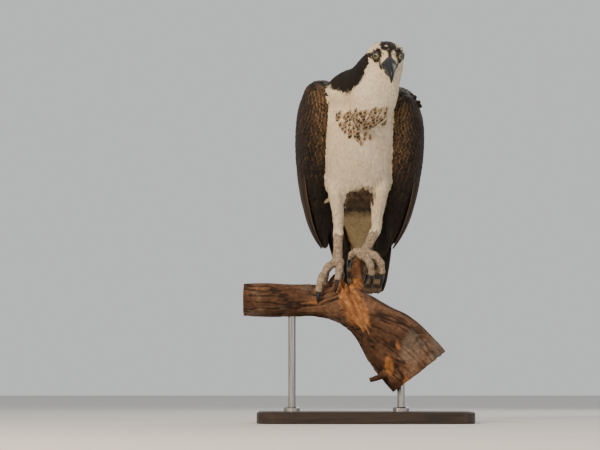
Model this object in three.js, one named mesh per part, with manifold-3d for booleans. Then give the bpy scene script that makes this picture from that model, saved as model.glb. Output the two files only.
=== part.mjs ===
// An osprey perched on a short cut length of dead branch, life size, on a plain
// display stand. Millimetres, +Z up. The bird faces -Y and its left side is +X.
// The origin is on the underside of the stand's base.

import * as THREE from 'three';
import { mergeVertices } from 'three/addons/utils/BufferGeometryUtils.js';
import Module from 'manifold-3d';

const wasm = await Module();
wasm.setup();

// ------------------------------------------------------------ driving sizes
const GAP = 0.3;              // gap between pieces that touch

// stand
const BASE_LENGTH = 330;      // along X
const BASE_DEPTH = 230;       // along Y
const BASE_HEIGHT = 18;
const BASE_CORNER = 26;
const BASE_CENTRE = [8, 22];
const ROD_RADIUS = 6;
const COLLAR_RADIUS = 13;
const COLLAR_HEIGHT = 7;
const ROD_LEFT = [-104, 0];
const ROD_RIGHT = [64, 0];

// perch: the branch runs nearly level on the left and turns down on the right
const BRANCH_TOP = 214.5;     // top of the level length
const BRANCH_RADIUS = 25.5;
const BRANCH_LEFT = -178;     // sawn end
const LIMB_RADIUS = 49;       // the thick limb below the bend
const SPUR_TOP = 255;         // broken spur that the left foot grips

// trunk, along a spine that leans back 52 degrees from the level
const BREAST_HALF_WIDTH = 62;
const BREAST_HALF_DEPTH = 60;

// head: origin midway between the eyes
const EYE_MID = [41, -116, 551.5];
const HEAD_YAW = 5.6;         // degrees towards the bird's left
const HEAD_PITCH = 32;        // degrees below the level
const EYE_RADIUS = 7.4;
const EYE_SIDE = 15.6;        // centre of each eyeball from the midline
const BILL_LENGTH = 33;       // from the cere's edge to the bend of the hook
const HOOK_DROP = 21;         // tip of the hook below the line of the eyes

// wings, tail, legs
const WING_TIP = [2, 236, 205];
const TAIL_BASE = [3, 96, 330];
const TAIL_TIP = [17, 233, 207];
const TAIL_HALF_WIDTH = 29;
const TAIL_FEATHERS = 5;      // visible steps of the closed fan
const PRIMARY_STEPS = 3;
const TOE_RADIUS = 6.2;
const TALON_LENGTH = 25;

const COLOURS = {
  white: 0xe9ddc6, brown: 0x33231a, horn: 0x23262b, eye: 0xb39a3a,
  scales: 0xb7ae9a, talon: 0x17171a, bark: 0x6e4a32, base: 0x2b2724, steel: 0x8d8f92,
};

// ------------------------------------------------------------------ helpers
const V = (a) => new THREE.Vector3(a[0], a[1], a[2]);
const smooth = (t) => t * t * (3 - 2 * t);

function catmull(a, b, c, d, t) {
  return 0.5 * ((2 * b) + (c - a) * t + (2 * a - 5 * b + 4 * c - d) * t * t
    + (3 * b - a - 3 * c + d) * t * t * t);
}

// rows of equal length, read at a distance s along the whole set of keys
function reader(keys, dist) {
  return (s) => {
    let i = 0;
    while (i < dist.length - 2 && s > dist[i + 1]) i++;
    const t = (s - dist[i]) / (dist[i + 1] - dist[i]);
    const k0 = keys[Math.max(i - 1, 0)], k1 = keys[i], k2 = keys[i + 1];
    const k3 = keys[Math.min(i + 2, keys.length - 1)];
    return k1.map((_, j) => catmull(k0[j], k1[j], k2[j], k3[j], t));
  };
}

// A closed body along a path. Each key is
// [x, y, z, half-width along side, half-depth across it, roll in degrees].
// flat squares the section (2 is an ellipse), grow adds to every half size.
function loft(keys, { around = 20, along = 14, side = [1, 0, 0], square = 2, grow = 0 }) {
  const rows = keys.map((k) => [...k.slice(0, 5), k[5] ?? 0]);
  const dist = [0];
  for (let i = 1; i < rows.length; i++) {
    dist.push(dist[i - 1] + V(rows[i]).distanceTo(V(rows[i - 1])));
  }
  const read = reader(rows, dist);
  const total = dist[dist.length - 1];
  const verts = [], faces = [];
  const hint = V(side).normalize();
  for (let i = 0; i <= along; i++) {
    const e = i / along;   // rows gather towards the ends, which are rounded
    const s = total * (0.5 * e + 0.25 * (1 - Math.cos(Math.PI * e)));
    const r = read(s);
    const tangent = V(read(Math.min(s + 0.5, total))).sub(V(read(Math.max(s - 0.5, 0)))).normalize();
    const a = hint.clone().addScaledVector(tangent, -hint.dot(tangent)).normalize();
    const b = new THREE.Vector3().crossVectors(tangent, a);
    const roll = THREE.MathUtils.degToRad(r[5]);
    const u = a.clone().multiplyScalar(Math.cos(roll)).addScaledVector(b, Math.sin(roll));
    const w = b.clone().multiplyScalar(Math.cos(roll)).addScaledVector(a, -Math.sin(roll));
    const c = V(r);
    if (i === 0) c.addScaledVector(tangent, -grow);
    if (i === along) c.addScaledVector(tangent, grow);
    for (let j = 0; j < around; j++) {
      const q = (2 * Math.PI * j) / around;
      const cq = Math.cos(q), sq = Math.sin(q);
      const x = Math.sign(cq) * Math.abs(cq) ** (2 / square) * (Math.max(r[3], 0.2) + grow);
      const y = Math.sign(sq) * Math.abs(sq) ** (2 / square) * (Math.max(r[4], 0.2) + grow);
      const p = c.clone().addScaledVector(u, x).addScaledVector(w, y);
      verts.push(p.x, p.y, p.z);
    }
  }
  for (let i = 0; i < along; i++) {
    for (let j = 0; j < around; j++) {
      const k = (j + 1) % around;
      const a = i * around + j, b = i * around + k;
      faces.push(a, b, b + around, a, b + around, a + around);
    }
  }
  const ends = [[0, -1], [along, 1]];
  for (const [row, way] of ends) {
    const centre = verts.length / 3;
    const mid = [0, 0, 0];
    for (let j = 0; j < around; j++) {
      for (let q = 0; q < 3; q++) mid[q] += verts[(row * around + j) * 3 + q] / around;
    }
    verts.push(...mid);
    for (let j = 0; j < around; j++) {
      const a = row * around + j, b = row * around + ((j + 1) % around);
      if (way < 0) faces.push(centre, b, a); else faces.push(centre, a, b);
    }
  }
  const g = new THREE.BufferGeometry();
  g.setAttribute('position', new THREE.Float32BufferAttribute(verts, 3));
  g.setIndex(faces);
  return solid(g);
}

function solid(geometry) {
  const g = geometry.clone();
  g.deleteAttribute('normal');
  g.deleteAttribute('uv');
  const m = mergeVertices(g, 1e-4);
  const pos = m.attributes.position.array;
  const tri = Uint32Array.from(m.index.array);
  let volume = 0;
  for (let i = 0; i < tri.length; i += 3) {
    const [a, b, c] = [0, 1, 2].map((k) => new THREE.Vector3().fromArray(pos, tri[i + k] * 3));
    volume += a.dot(b.cross(c));
  }
  if (volume < 0) {
    for (let i = 0; i < tri.length; i += 3) { const t = tri[i]; tri[i] = tri[i + 1]; tri[i + 1] = t; }
  }
  const made = new wasm.Manifold(new wasm.Mesh({
    numProp: 3, vertProperties: Float32Array.from(pos), triVerts: tri,
  }));
  if (made.volume() <= 0) throw new Error('a shape is not one closed body');
  return made;
}

const box = (sx, sy, sz, matrix) => solid(new THREE.BoxGeometry(sx, sy, sz).applyMatrix4(matrix));
const join = (list) => list.reduce((a, b) => a.add(b));
const cut = (a, ...list) => list.reduce((x, y) => x.subtract(y), a);
function largest(m) {
  return m.decompose().sort((a, b) => b.volume() - a.volume())[0];
}

// everything on the positive side of a plane through a point
function halfSpace(point, normal, offset) {
  const n = V(normal).normalize();
  const q = new THREE.Quaternion().setFromUnitVectors(new THREE.Vector3(0, 0, 1), n);
  const c = V(point).addScaledVector(n, 500 + offset);
  return box(1000, 1000, 1000, new THREE.Matrix4().compose(c, q, new THREE.Vector3(1, 1, 1)));
}

const group = new THREE.Group();
function node(name, manifold, colour, roughness = 0.8, metalness = 0) {
  const mesh = largest(manifold).getMesh();
  const g = new THREE.BufferGeometry();
  g.setAttribute('position', new THREE.Float32BufferAttribute(mesh.vertProperties, 3));
  g.setIndex(new THREE.Uint32BufferAttribute(mesh.triVerts, 1));
  const m = new THREE.Mesh(g, new THREE.MeshStandardMaterial({ color: colour, roughness, metalness }));
  m.name = name;
  group.add(m);
}

// mirrored side: the bird's right is -X
const flip = (keys, s) => keys.map((k) => [k[0] * s, k[1], k[2], k[3], k[4], (k[5] ?? 0) * s]);

// ---------------------------------------------------------------- the frame
// of the head: forward, up and the bird's left
const headTurn = new THREE.Matrix4()
  .makeTranslation(...EYE_MID)
  .multiply(new THREE.Matrix4().makeRotationZ(THREE.MathUtils.degToRad(HEAD_YAW)))
  .multiply(new THREE.Matrix4().makeRotationX(THREE.MathUtils.degToRad(HEAD_PITCH)));
// local head coordinates are [left, forward, up]
function headPoint(left, forward, up) {
  return new THREE.Vector3(left, -forward, up).applyMatrix4(headTurn).toArray();
}
const headSide = new THREE.Vector3(1, 0, 0).transformDirection(headTurn).toArray();
// keys: [forward, up, half-width, half-height]
const headLoft = (keys, opts) => loft(
  keys.map(([f, u, w, h, l = 0]) => [...headPoint(l, f, u), w, h]), { side: headSide, ...opts });

// ------------------------------------------------------------------- bodies
function trunkBody(grow) {
  const w = BREAST_HALF_WIDTH, d = BREAST_HALF_DEPTH;
  const torso = loft([
    [3, -34, 531, 0.35 * w, 0.25 * d], [3, -32, 524, 0.66 * w, 0.52 * d],
    [3, -24, 500, 0.88 * w, 0.78 * d], [2, -14, 472, 0.98 * w, 0.95 * d],
    [0, -1, 444, w, d], [0, 17, 412, 0.97 * w, 0.98 * d], [0, 39, 380, 0.86 * w, 0.88 * d],
    [1, 66, 352, 0.68 * w, 0.66 * d], [3, 96, 326, 0.5 * w, 0.44 * d],
    [5, 126, 300, 0.37 * w, 0.25 * d], [7, 150, 279, 0.26 * w, 0.12 * d],
    [8, 156, 274, 0.14 * w, 0.06 * d],
  ], { around: 19, along: 13, square: 2.15, grow });
  return torso;
}

function neckBody(grow) {
  // hunched shoulders and nape, running forward and to the bird's left
  const nape = loft([
    [1, -12, 496, 51, 31], [1, -22, 506, 60, 41], [13, -42, 513, 53, 40],
    [22, -62, 524, 44, 35], [30, -82, 537, 38.5, 32], [36.5, -96, 545, 34, 29], [40, -106, 549, 23, 21],
  ], { around: 16, along: 7, side: [1, 0.25, 0.1], grow });
  // full, loose throat and foreneck hanging in front of the breast
  const throat = loft([
    [40, -114, 534, 14, 12], [38, -108, 525, 24, 19], [30, -98, 508, 33, 24],
    [20, -88, 490, 38, 28], [12, -78, 470, 33, 26], [7, -70, 453, 20, 17], [6, -66, 447, 8, 7],
  ], { around: 14, along: 7, side: [1, 0, 0.15], grow });
  return nape.add(throat);
}

function headBody(grow) {
  return headLoft([
    [-47, -13, 9, 9], [-44, -12, 19, 15], [-35, -9.2, 27.5, 19.4], [-22, -7.2, 30, 21.4],
    [-9, -5.2, 26.2, 20.6], [2, -5.2, 21.6, 18.6], [12, -7.4, 17, 15.2], [20, -8.6, 12.8, 12.6],
    [27, -9, 9.5, 9.5],
  ], { around: 16, along: 10, square: 2.15, grow });
}

// brow ridge over each eye, and the socket that opens round the eyeball
function brow(s) {
  return headLoft([
    [13, 4, 2, 2, s * 13], [8, 7.4, 4, 3.2, s * 16], [-1, 9.4, 4.6, 3.6, s * 19],
    [-10, 9.4, 3.6, 3, s * 22], [-16, 8, 1.6, 1.6, s * 23],
  ], { around: 6, along: 4 });
}
function socket(s) {
  return headLoft([
    [-7, 0, 1.4, 1.4, s * 27], [-4, 0.4, 4.6, 6, s * 25.6], [2, 0.6, 5.4, 6.8, s * 24.4],
    [8, 0.2, 4.4, 5.6, s * 22.6], [12, -0.6, 1.2, 1.4, s * 21],
  ], { around: 8, along: 4 });
}

const whole = (grow) => join([trunkBody(grow), neckBody(grow), headBody(grow)]);
const face = (m) => cut(join([m, brow(-1), brow(1)]), socket(-1), socket(1));

function billUpper(grow) {
  const l = BILL_LENGTH, d = HOOK_DROP;
  return headLoft([
    [17, -5.4, 11.6, 9], [24, -4.8, 10.6, 9], [17 + 0.45 * l, -5.1, 8.6, 8.4],
    [17 + 0.72 * l, -6.3, 6.6, 7], [17 + 0.93 * l, -9.6, 4.6, 5.6],
    [17 + 1.03 * l, -14.4, 2.9, 3.7], [17 + 1.05 * l, -0.88 * d, 1.6, 2],
    [17 + 1.02 * l, -1.04 * d, 0.5, 0.6],
  ], { around: 10, along: 9, square: 2.2, grow });
}

function billLower(grow) {
  return headLoft([
    [13, -15, 8.6, 4.4], [22, -15.4, 8, 4.2], [34, -15.2, 5.6, 3.2], [40, -14.6, 3.6, 2.2],
    [42, -14.4, 1.6, 1],
  ], { around: 8, along: 4, grow });
}

function eyeBall(s, grow) {
  const g = new THREE.SphereGeometry(EYE_RADIUS + grow, 10, 7);
  g.applyMatrix4(new THREE.Matrix4().makeTranslation(...headPoint(s * EYE_SIDE, -1, 0.6)));
  return solid(g);
}

// folded wing: wrist at the top, covert and secondary tips at the lower end.
// half-width is across the wing's thickness, half-depth from front to back edge
function wingBody(s, grow) {
  const shift = s > 0 ? [6, 0, -18] : [0, 0, 0];   // the left shoulder hangs lower
  const keys = [
    [-68, -33, 525, 3, 7, 8], [-67, -31, 521, 12, 21, 8], [-65, -26, 512, 21, 34, 9],
    [-61, -10, 492, 32, 49, 10], [-61, 14, 458, 36.5, 58, 10], [-61, 46, 414, 35.5, 58, 10],
    [-59, 78, 371, 28.5, 52, 11], [-55.5, 108, 332, 19.5, 41, 12], [-51.5, 133, 300, 9.5, 25, 12],
    [-50, 146, 284, 5, 12, 12], [-48, 150, 279, 2, 5, 12],
  ];
  // the shoulder's drop fades towards the tip
  const moved = flip(keys, -s * 1).map((k, i) => {
    const f = 1 - smooth(Math.min(i / 7, 1));
    return [k[0] + shift[0] * (0.25 + 0.75 * f), k[1], k[2] + shift[2] * f, k[3], k[4], k[5]];
  });
  return loft(moved, { around: 15, along: 11, square: 2.2, grow });
}

// one flight feather as a thin blade from root to tip
function blade(root, tip, halfWidth, halfThick, side, grow, bow = 0) {
  const a = V(root), b = V(tip);
  const at = (t) => {
    const p = a.clone().lerp(b, t);
    p.z -= bow * Math.sin(Math.PI * t);
    return p.toArray();
  };
  return loft([
    [...at(0), 0.6 * halfWidth, halfThick], [...at(0.3), 0.95 * halfWidth, halfThick],
    [...at(0.7), halfWidth, halfThick], [...at(0.93), 0.8 * halfWidth, 0.8 * halfThick],
    [...at(0.985), 0.45 * halfWidth, 0.7 * halfThick], [...at(1), 0.15 * halfWidth, 0.6 * halfThick],
  ], { around: 6, along: 5, side, square: 2.6, grow });
}

// long primaries beyond the coverts, stepped back one behind the other
function primaries(s, grow) {
  const list = [];
  for (let i = 0; i < PRIMARY_STEPS; i++) {
    const t = i / (PRIMARY_STEPS - 1);
    // s > 0 is the bird's left wing
    const tip = s > 0
      ? [37 - 9 * t, WING_TIP[1] - 3 - 46 * t, WING_TIP[2] + 5 + 44 * t]
      : [-4 - 6 * t, WING_TIP[1] - 1 - 46 * t, WING_TIP[2] + 7 + 42 * t];
    const root = [s > 0 ? 49 - 8 * t : -50 + 8 * t, 96 + 6 * t, 326 + 12 * t];
    list.push(blade([root[0], root[1], root[2]], tip, 11.5, 1.7, [1, 0.25 * -s, 0.3 * s], grow, 5));
  }
  return join(list);
}

function tailBody(grow) {
  const list = [];
  const n = TAIL_FEATHERS;
  for (let i = 0; i < n; i++) {
    const t = (i / (n - 1)) * 2 - 1;
    const lift = 3.2 * (1 - t * t);
    const tip = [TAIL_TIP[0] + t * (TAIL_HALF_WIDTH - 8), TAIL_TIP[1] - 6 * t * t, TAIL_TIP[2] + lift + 5 * t * t];
    const root = [TAIL_BASE[0] + t * 11, TAIL_BASE[1], TAIL_BASE[2] + 0.5 * lift];
    list.push(blade(root, tip, 8.6, 1.9, [1, 0.1 * t, 0.12 * t], grow, 3));
  }
  return join(list);
}

// ------------------------------------------------------------------ the legs
// s > 0 is the bird's left
const HEEL = { '-1': [-31.6, 26, 302], 1: [28.5, 26, 303] };
const FOOT = { '-1': [-33.5, -8, 250], 1: [7, -9, 261] };

function thigh(s, grow) {
  const [x, y, z] = HEEL[s];
  const hip = s > 0 ? 35 : -37;
  return loft([
    [hip, 22, 400, 18, 26], [hip, 16, 384, 19, 29], [hip, 12, 366, 14.5, 23],
    [0.6 * hip + 0.4 * x, 14, 343, 12, 17], [x, 19, 322, 10.8, 13],
    [x, y - 2, z + 3, 9.8, 11], [x, y, z - 7, 6.5, 7],
  ], { around: 14, along: 8, grow });
}

function tarsus(s, grow) {
  const a = V(HEEL[s]), b = V(FOOT[s]);
  const at = (t) => a.clone().lerp(b, t).toArray();
  return loft([
    [...at(-0.1), 6, 6], [...at(0), 8.6, 9.4], [...at(0.18), 8, 9], [...at(0.6), 7.4, 7.6],
    [...at(0.88), 8.2, 8], [...at(1), 8, 7.6], [...at(1.06), 5, 5],
  ], { around: 10, along: 6, grow });
}

// toes: paths from the foot's joint round the wood, with a knuckle half way
const TOES = {
  '-1': [
    [[-37, -12, 249], [-50, -24, 237], [-60, -31, 218], [-63, -32, 203]],
    [[-33, -14, 248], [-31, -27, 243], [-32, -35, 233], [-34, -36, 221]],
    [[-38, -4, 247], [-47, 11, 241], [-53, 24, 225], [-53, 27, 207]],
    [[-32, -2, 247], [-30, 13, 241], [-28, 26, 227], [-29, 29, 213]],
  ],
  1: [
    [[12, -12, 262], [24, -19, 257], [33, -16, 245], [35, -12, 232]],
    [[8, -15, 261], [9, -24, 256], [16, -25, 243], [19, -20, 230]],
    [[3, -10, 263], [-4, -11, 264], [-10, -8, 261], [-13, -1, 255]],
    [[9, -3, 261], [13, 8, 257], [16, 15, 246], [14, 16, 232]],
  ],
};

function footBody(s, grow) {
  const [x, y, z] = FOOT[s];
  const parts = [loft([
    [x, y + 9, z - 2, 6, 4], [x, y + 5, z - 2, 10, 8], [x, y - 3, z - 2.5, 11, 9],
    [x, y - 9, z - 3, 9, 7.5], [x, y - 12, z - 3, 5, 4],
  ], { around: 7, along: 4, grow })];
  for (const path of TOES[s]) {
    const r = TOE_RADIUS;
    const k = path.map((p, i) => [...p, r * [1.12, 1.04, 1, 0.86][i], r * [1.1, 1, 0.98, 0.86][i]]);
    const end = V(path[3]).add(V(path[3]).sub(V(path[2])).normalize().multiplyScalar(3.5)).toArray();
    k.push([...end, 0.5 * r, 0.5 * r]);
    parts.push(loft(k, { around: 6, along: 5, side: [1, 0.2, 0.1], grow }));
  }
  return join(parts);
}

// talon: a strongly curved tapering claw that carries on from the toe's end
// and turns in under the wood
function talon(s, i, grow) {
  const path = TOES[s][i];
  const tip = V(path[3]);
  const down = tip.clone().sub(V(path[2])).normalize();
  const axis = V(TALON_TURN[s][i]).normalize();   // where the point turns to
  const at = (t) => {
    const q = t * 1.15;
    return tip.clone()
      .addScaledVector(down, (TALON_LENGTH / 1.15) * Math.sin(q) * 0.98 + 0.5)
      .addScaledVector(axis, (TALON_LENGTH / 1.15) * (1 - Math.cos(q))).toArray();
  };
  return loft([
    [...at(0.02), 3.6, 4], [...at(0.2), 3.4, 3.9], [...at(0.45), 2.7, 3.1], [...at(0.7), 1.9, 2.1],
    [...at(0.9), 1, 1.1], [...at(1), 0.4, 0.4],
  ], { around: 6, along: 4, side: [1, 0.1, 0.2], grow });
}
const TALON_TURN = {
  '-1': [[0.35, 1, -0.1], [0, 1, -0.2], [0.2, -1, -0.1], [0, -1, -0.1]],
  1: [[-0.5, 0.6, -0.4], [-0.5, 0.7, -0.3], [0.45, 1, -0.5], [-0.6, -0.6, -0.4]],
};

// ------------------------------------------------------------------- perch
function perchBody(grow) {
  const r = BRANCH_RADIUS, z = BRANCH_TOP - BRANCH_RADIUS;
  const level = loft([
    [BRANCH_LEFT, 1, z + 1, r * 0.98, r], [-140, -1, z + 1, r, r * 1.02], [-104, 0, z, r * 1.02, r],
    [-68, 0, z, r * 1.02, r * 1.02], [-34, 0, z - 4, r * 1.08, r * 1.1], [-8, 0, z - 14, r * 1.16, r * 1.2],
    [17, 0, z - 31, r * 1.3, r * 1.38], [50, 0, z - 63, LIMB_RADIUS * 0.92, LIMB_RADIUS],
    [77, 0, z - 92, LIMB_RADIUS * 0.95, LIMB_RADIUS * 1.06], [106, 0, z - 128, LIMB_RADIUS * 0.94, LIMB_RADIUS * 1.03],
  ], { around: 15, along: 12, side: [0, 1, 0], grow });
  // broken collar under the right foot, and the torn wood beside it
  const collar = loft([
    [-36, 2, 196, 12, 14], [-36, -1, 210, 15, 17], [-35, -3, 222, 12, 14], [-35, -4, 230, 5, 6],
  ], { around: 10, along: 4, grow });
  const torn = loft([
    [-2, -8, 168, 22, 20], [-6, -14, 190, 19, 15], [-10, -16, 204, 14, 11], [-13, -15, 212, 5, 4],
  ], { around: 10, along: 4, square: 2.6, grow });
  const spur = loft([
    [1, -2, 172, 14, 16], [-2, -4, 205, 10, 12], [-3, -6, 230, 8.6, 10.5], [-3, -7, 246, 8, 9.5],
    [-3, -7.5, SPUR_TOP - 2, 6, 7], [-3, -7.5, SPUR_TOP, 2.5, 3],
  ], { around: 10, along: 6, square: 2.5, grow });
  const stub = loft([
    [15, -22, 66, 4.5, 4.5], [27, -26, 70, 5.5, 5.5], [46, -20, 80, 7.5, 7.5],
  ], { around: 7, along: 3, side: [0, 0, 1], grow });
  return join([level, collar, torn, spur, stub]);
}

// -------------------------------------------------------------------- stand
function roundedPlate(length, depth, height, corner) {
  const s = new THREE.Shape();
  const x = length / 2, y = depth / 2, c = corner;
  s.moveTo(-x + c, -y);
  s.lineTo(x - c, -y); s.absarc(x - c, -y + c, c, -Math.PI / 2, 0, false);
  s.lineTo(x, y - c); s.absarc(x - c, y - c, c, 0, Math.PI / 2, false);
  s.lineTo(-x + c, y); s.absarc(-x + c, y - c, c, Math.PI / 2, Math.PI, false);
  s.lineTo(-x, -y + c); s.absarc(-x + c, -y + c, c, Math.PI, 1.5 * Math.PI, false);
  const bevel = 2;
  return new THREE.ExtrudeGeometry(s, {
    depth: height - 2 * bevel, bevelEnabled: true, bevelThickness: bevel, bevelSize: bevel,
    bevelOffset: -bevel, bevelSegments: 1, curveSegments: 3,
  }).translate(0, 0, bevel);
}

function rod([x, y], top) {
  const z0 = BASE_HEIGHT + GAP;
  const profile = [
    [0, z0], [COLLAR_RADIUS, z0], [COLLAR_RADIUS, z0 + COLLAR_HEIGHT - 2],
    [COLLAR_RADIUS - 2, z0 + COLLAR_HEIGHT], [ROD_RADIUS, z0 + COLLAR_HEIGHT],
    [ROD_RADIUS, top], [0, top],
  ].map((p) => new THREE.Vector2(p[0], p[1]));
  const g = new THREE.LatheGeometry(profile, 10);
  g.applyMatrix4(new THREE.Matrix4().makeRotationX(Math.PI / 2));
  g.applyMatrix4(new THREE.Matrix4().makeTranslation(x, y, 0));
  return solid(g);
}

// ---------------------------------------------------------------- assembly
const full = whole(0), fullGrown = whole(GAP);
const NECK_CUT = { at: [10, -46, 494], n: [0.22, -0.78, 0.6] };
const HEAD_CUT = { at: headPoint(0, -30, -14), n: V(headPoint(0, 0.62, 0.78)).sub(V(headPoint(0, 0, 0))).toArray() };
const aboveNeck = halfSpace(NECK_CUT.at, NECK_CUT.n, 0);
const aboveNeckIn = halfSpace(NECK_CUT.at, NECK_CUT.n, GAP);
const aboveHead = halfSpace(HEAD_CUT.at, HEAD_CUT.n, 0);
const aboveHeadIn = halfSpace(HEAD_CUT.at, HEAD_CUT.n, GAP);

const bills = [billUpper(GAP), billLower(GAP)];
const eyes = [eyeBall(-1, GAP), eyeBall(1, GAP)];
node('trunk', cut(full, aboveNeck), COLOURS.white, 0.9);
node('neck', cut(full.intersect(aboveNeckIn), aboveHead), COLOURS.white, 0.9);
node('head', cut(face(full.intersect(aboveHeadIn)), ...bills, ...eyes), COLOURS.white, 0.9);
node('bill_upper', billUpper(0), COLOURS.horn, 0.4);
node('bill_lower', cut(billLower(0), billUpper(GAP)), COLOURS.horn, 0.45);
node('eye_right', eyeBall(-1, 0), COLOURS.eye, 0.1);
node('eye_left', eyeBall(1, 0), COLOURS.eye, 0.1);

const tail = (g) => cut(tailBody(g));
node('wing_right', cut(wingBody(-1, 0), fullGrown), COLOURS.brown, 0.85);
node('wing_left', cut(wingBody(1, 0), fullGrown), COLOURS.brown, 0.85);
node('tail', cut(tail(0), fullGrown, wingBody(-1, GAP), wingBody(1, GAP)), COLOURS.brown, 0.85);
const wingsGrown = [wingBody(-1, GAP), wingBody(1, GAP)];
node('primaries_right', cut(primaries(-1, 0), fullGrown, ...wingsGrown, tailBody(GAP)), COLOURS.brown, 0.85);
node('primaries_left', cut(primaries(1, 0), fullGrown, ...wingsGrown, tailBody(GAP), primaries(-1, GAP)), COLOURS.brown, 0.85);

const wood = perchBody(0), woodGrown = perchBody(GAP);
for (const [name, s] of [['right', -1], ['left', 1]]) {
  node('thigh_' + name, cut(thigh(s, 0), fullGrown, ...wingsGrown), COLOURS.white, 0.9);
  node('tarsus_' + name, cut(tarsus(s, 0), thigh(s, GAP)), COLOURS.scales, 0.7);
  node('foot_' + name, cut(footBody(s, 0), tarsus(s, GAP), woodGrown), COLOURS.scales, 0.7);
  for (let i = 0; i < 4; i++) {
    node('talon_' + name + '_' + (i + 1),
      cut(talon(s, i, 0), footBody(s, GAP), woodGrown), COLOURS.talon, 0.3);
  }
}

const limbEnd = halfSpace([93, 0, 80], [0.62, 0, -0.785], 0);
node('perch', cut(wood, limbEnd), COLOURS.bark, 0.95);

node('stand_base', solid(roundedPlate(BASE_LENGTH, BASE_DEPTH, BASE_HEIGHT, BASE_CORNER)
  .translate(BASE_CENTRE[0], BASE_CENTRE[1], 0)), COLOURS.base, 0.5);
node('stand_rod_left', cut(rod(ROD_LEFT, 180), woodGrown), COLOURS.steel, 0.3, 0.9);
node('stand_rod_right', cut(rod(ROD_RIGHT, 90), woodGrown.subtract(limbEnd)), COLOURS.steel, 0.3, 0.9);

export default group;
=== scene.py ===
import math

import bmesh
import bpy
import numpy as np
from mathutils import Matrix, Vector
from mathutils.bvhtree import BVHTree
from mathutils.kdtree import KDTree


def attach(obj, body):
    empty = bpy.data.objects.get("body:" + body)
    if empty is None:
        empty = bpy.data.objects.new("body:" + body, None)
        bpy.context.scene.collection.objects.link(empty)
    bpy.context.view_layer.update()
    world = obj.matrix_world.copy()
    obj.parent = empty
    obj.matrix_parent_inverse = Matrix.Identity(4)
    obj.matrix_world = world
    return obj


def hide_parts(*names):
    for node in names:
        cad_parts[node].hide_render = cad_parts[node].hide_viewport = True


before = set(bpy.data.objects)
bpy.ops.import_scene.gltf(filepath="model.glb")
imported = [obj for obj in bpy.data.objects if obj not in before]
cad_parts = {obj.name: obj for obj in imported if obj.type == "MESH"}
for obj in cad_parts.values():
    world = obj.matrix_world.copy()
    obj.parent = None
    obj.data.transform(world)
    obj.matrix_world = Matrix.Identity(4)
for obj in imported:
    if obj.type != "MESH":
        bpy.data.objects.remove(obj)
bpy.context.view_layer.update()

MM = 0.001

# =====================================================================
# sizes shared with the solids (millimetres)
# =====================================================================
BRANCH_TOP, BRANCH_RADIUS, BRANCH_LEFT, LIMB_RADIUS, SPUR_TOP = 214.5, 25.5, -178.0, 49.0, 255.0
BW, BD = 62.0, 60.0
EYE_MID = np.array([41.0, -116.0, 551.5])
HEAD_YAW, HEAD_PITCH = math.radians(5.6), math.radians(32.0)
EYE_RADIUS, EYE_SIDE = 7.4, 15.6
BILL_LENGTH, HOOK_DROP = 33.0, 21.0
TAIL_BASE, TAIL_TIP, TAIL_HALF_WIDTH = np.array([3.0, 96.0, 330.0]), np.array([17.0, 233.0, 207.0]), 29.0
WING_TIP = np.array([2.0, 236.0, 205.0])
TOE_RADIUS, TALON_LENGTH = 6.2, 25.0
HEEL = {-1: np.array([-31.6, 26, 302.0]), 1: np.array([28.5, 26, 303.0])}
FOOT = {-1: np.array([-33.5, -8, 250.0]), 1: np.array([7.0, -9, 261.0])}

cy, sy, cp, sp = math.cos(HEAD_YAW), math.sin(HEAD_YAW), math.cos(HEAD_PITCH), math.sin(HEAD_PITCH)
RZ = np.array([[cy, -sy, 0], [sy, cy, 0], [0, 0, 1.0]])
RX = np.array([[1.0, 0, 0], [0, cp, -sp], [0, sp, cp]])
HEAD_R = RZ @ RX


def head_point(left, forward, up):
    return HEAD_R @ np.array([left, -forward, up], float) + EYE_MID


def head_local(p):
    """World millimetres to (left, forward, up) in the head."""
    q = (np.atleast_2d(p) - EYE_MID) @ HEAD_R
    return q[:, 0], -q[:, 1], q[:, 2]


HEAD_SIDE = HEAD_R @ np.array([1.0, 0, 0])

# =====================================================================
# numbers and noise
# =====================================================================
rng = np.random.default_rng(7)


def sstep(a, b, x):
    t = np.clip((np.asarray(x, float) - a) / (b - a), 0, 1)
    return t * t * (3 - 2 * t)


def lerp(a, b, t):
    return a + (b - a) * t


def unit(v):
    return v / np.maximum(np.linalg.norm(v, axis=-1, keepdims=True), 1e-12)


def hash3(ix, iy, iz, seed):
    h = (ix.astype(np.int64) * 374761393 + iy.astype(np.int64) * 668265263
         + iz.astype(np.int64) * 2147483647 + seed * 974634777)
    h = (h ^ (h >> 13)) * 1274126177
    h = h ^ (h >> 16)
    return ((h & 0xFFFFFF) / float(0xFFFFFF))


def noise(p, scale, seed=0):
    """Value noise, 0 to 1, at points p (N, 3) with cells of the given size."""
    q = np.asarray(p, float) / scale
    i = np.floor(q)
    f = q - i
    f = f * f * (3 - 2 * f)
    i = i.astype(np.int64)
    out = 0.0
    for dx in (0, 1):
        for dy in (0, 1):
            for dz in (0, 1):
                w = ((f[:, 0] if dx else 1 - f[:, 0]) * (f[:, 1] if dy else 1 - f[:, 1])
                     * (f[:, 2] if dz else 1 - f[:, 2]))
                out = out + w * hash3(i[:, 0] + dx, i[:, 1] + dy, i[:, 2] + dz, seed)
    return out


def fbm(p, scale, octaves=4, seed=0):
    out, amp, tot = 0.0, 1.0, 0.0
    for k in range(octaves):
        out = out + amp * noise(p, scale / 2 ** k, seed + 17 * k)
        tot += amp
        amp *= 0.5
    return out / tot


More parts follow.
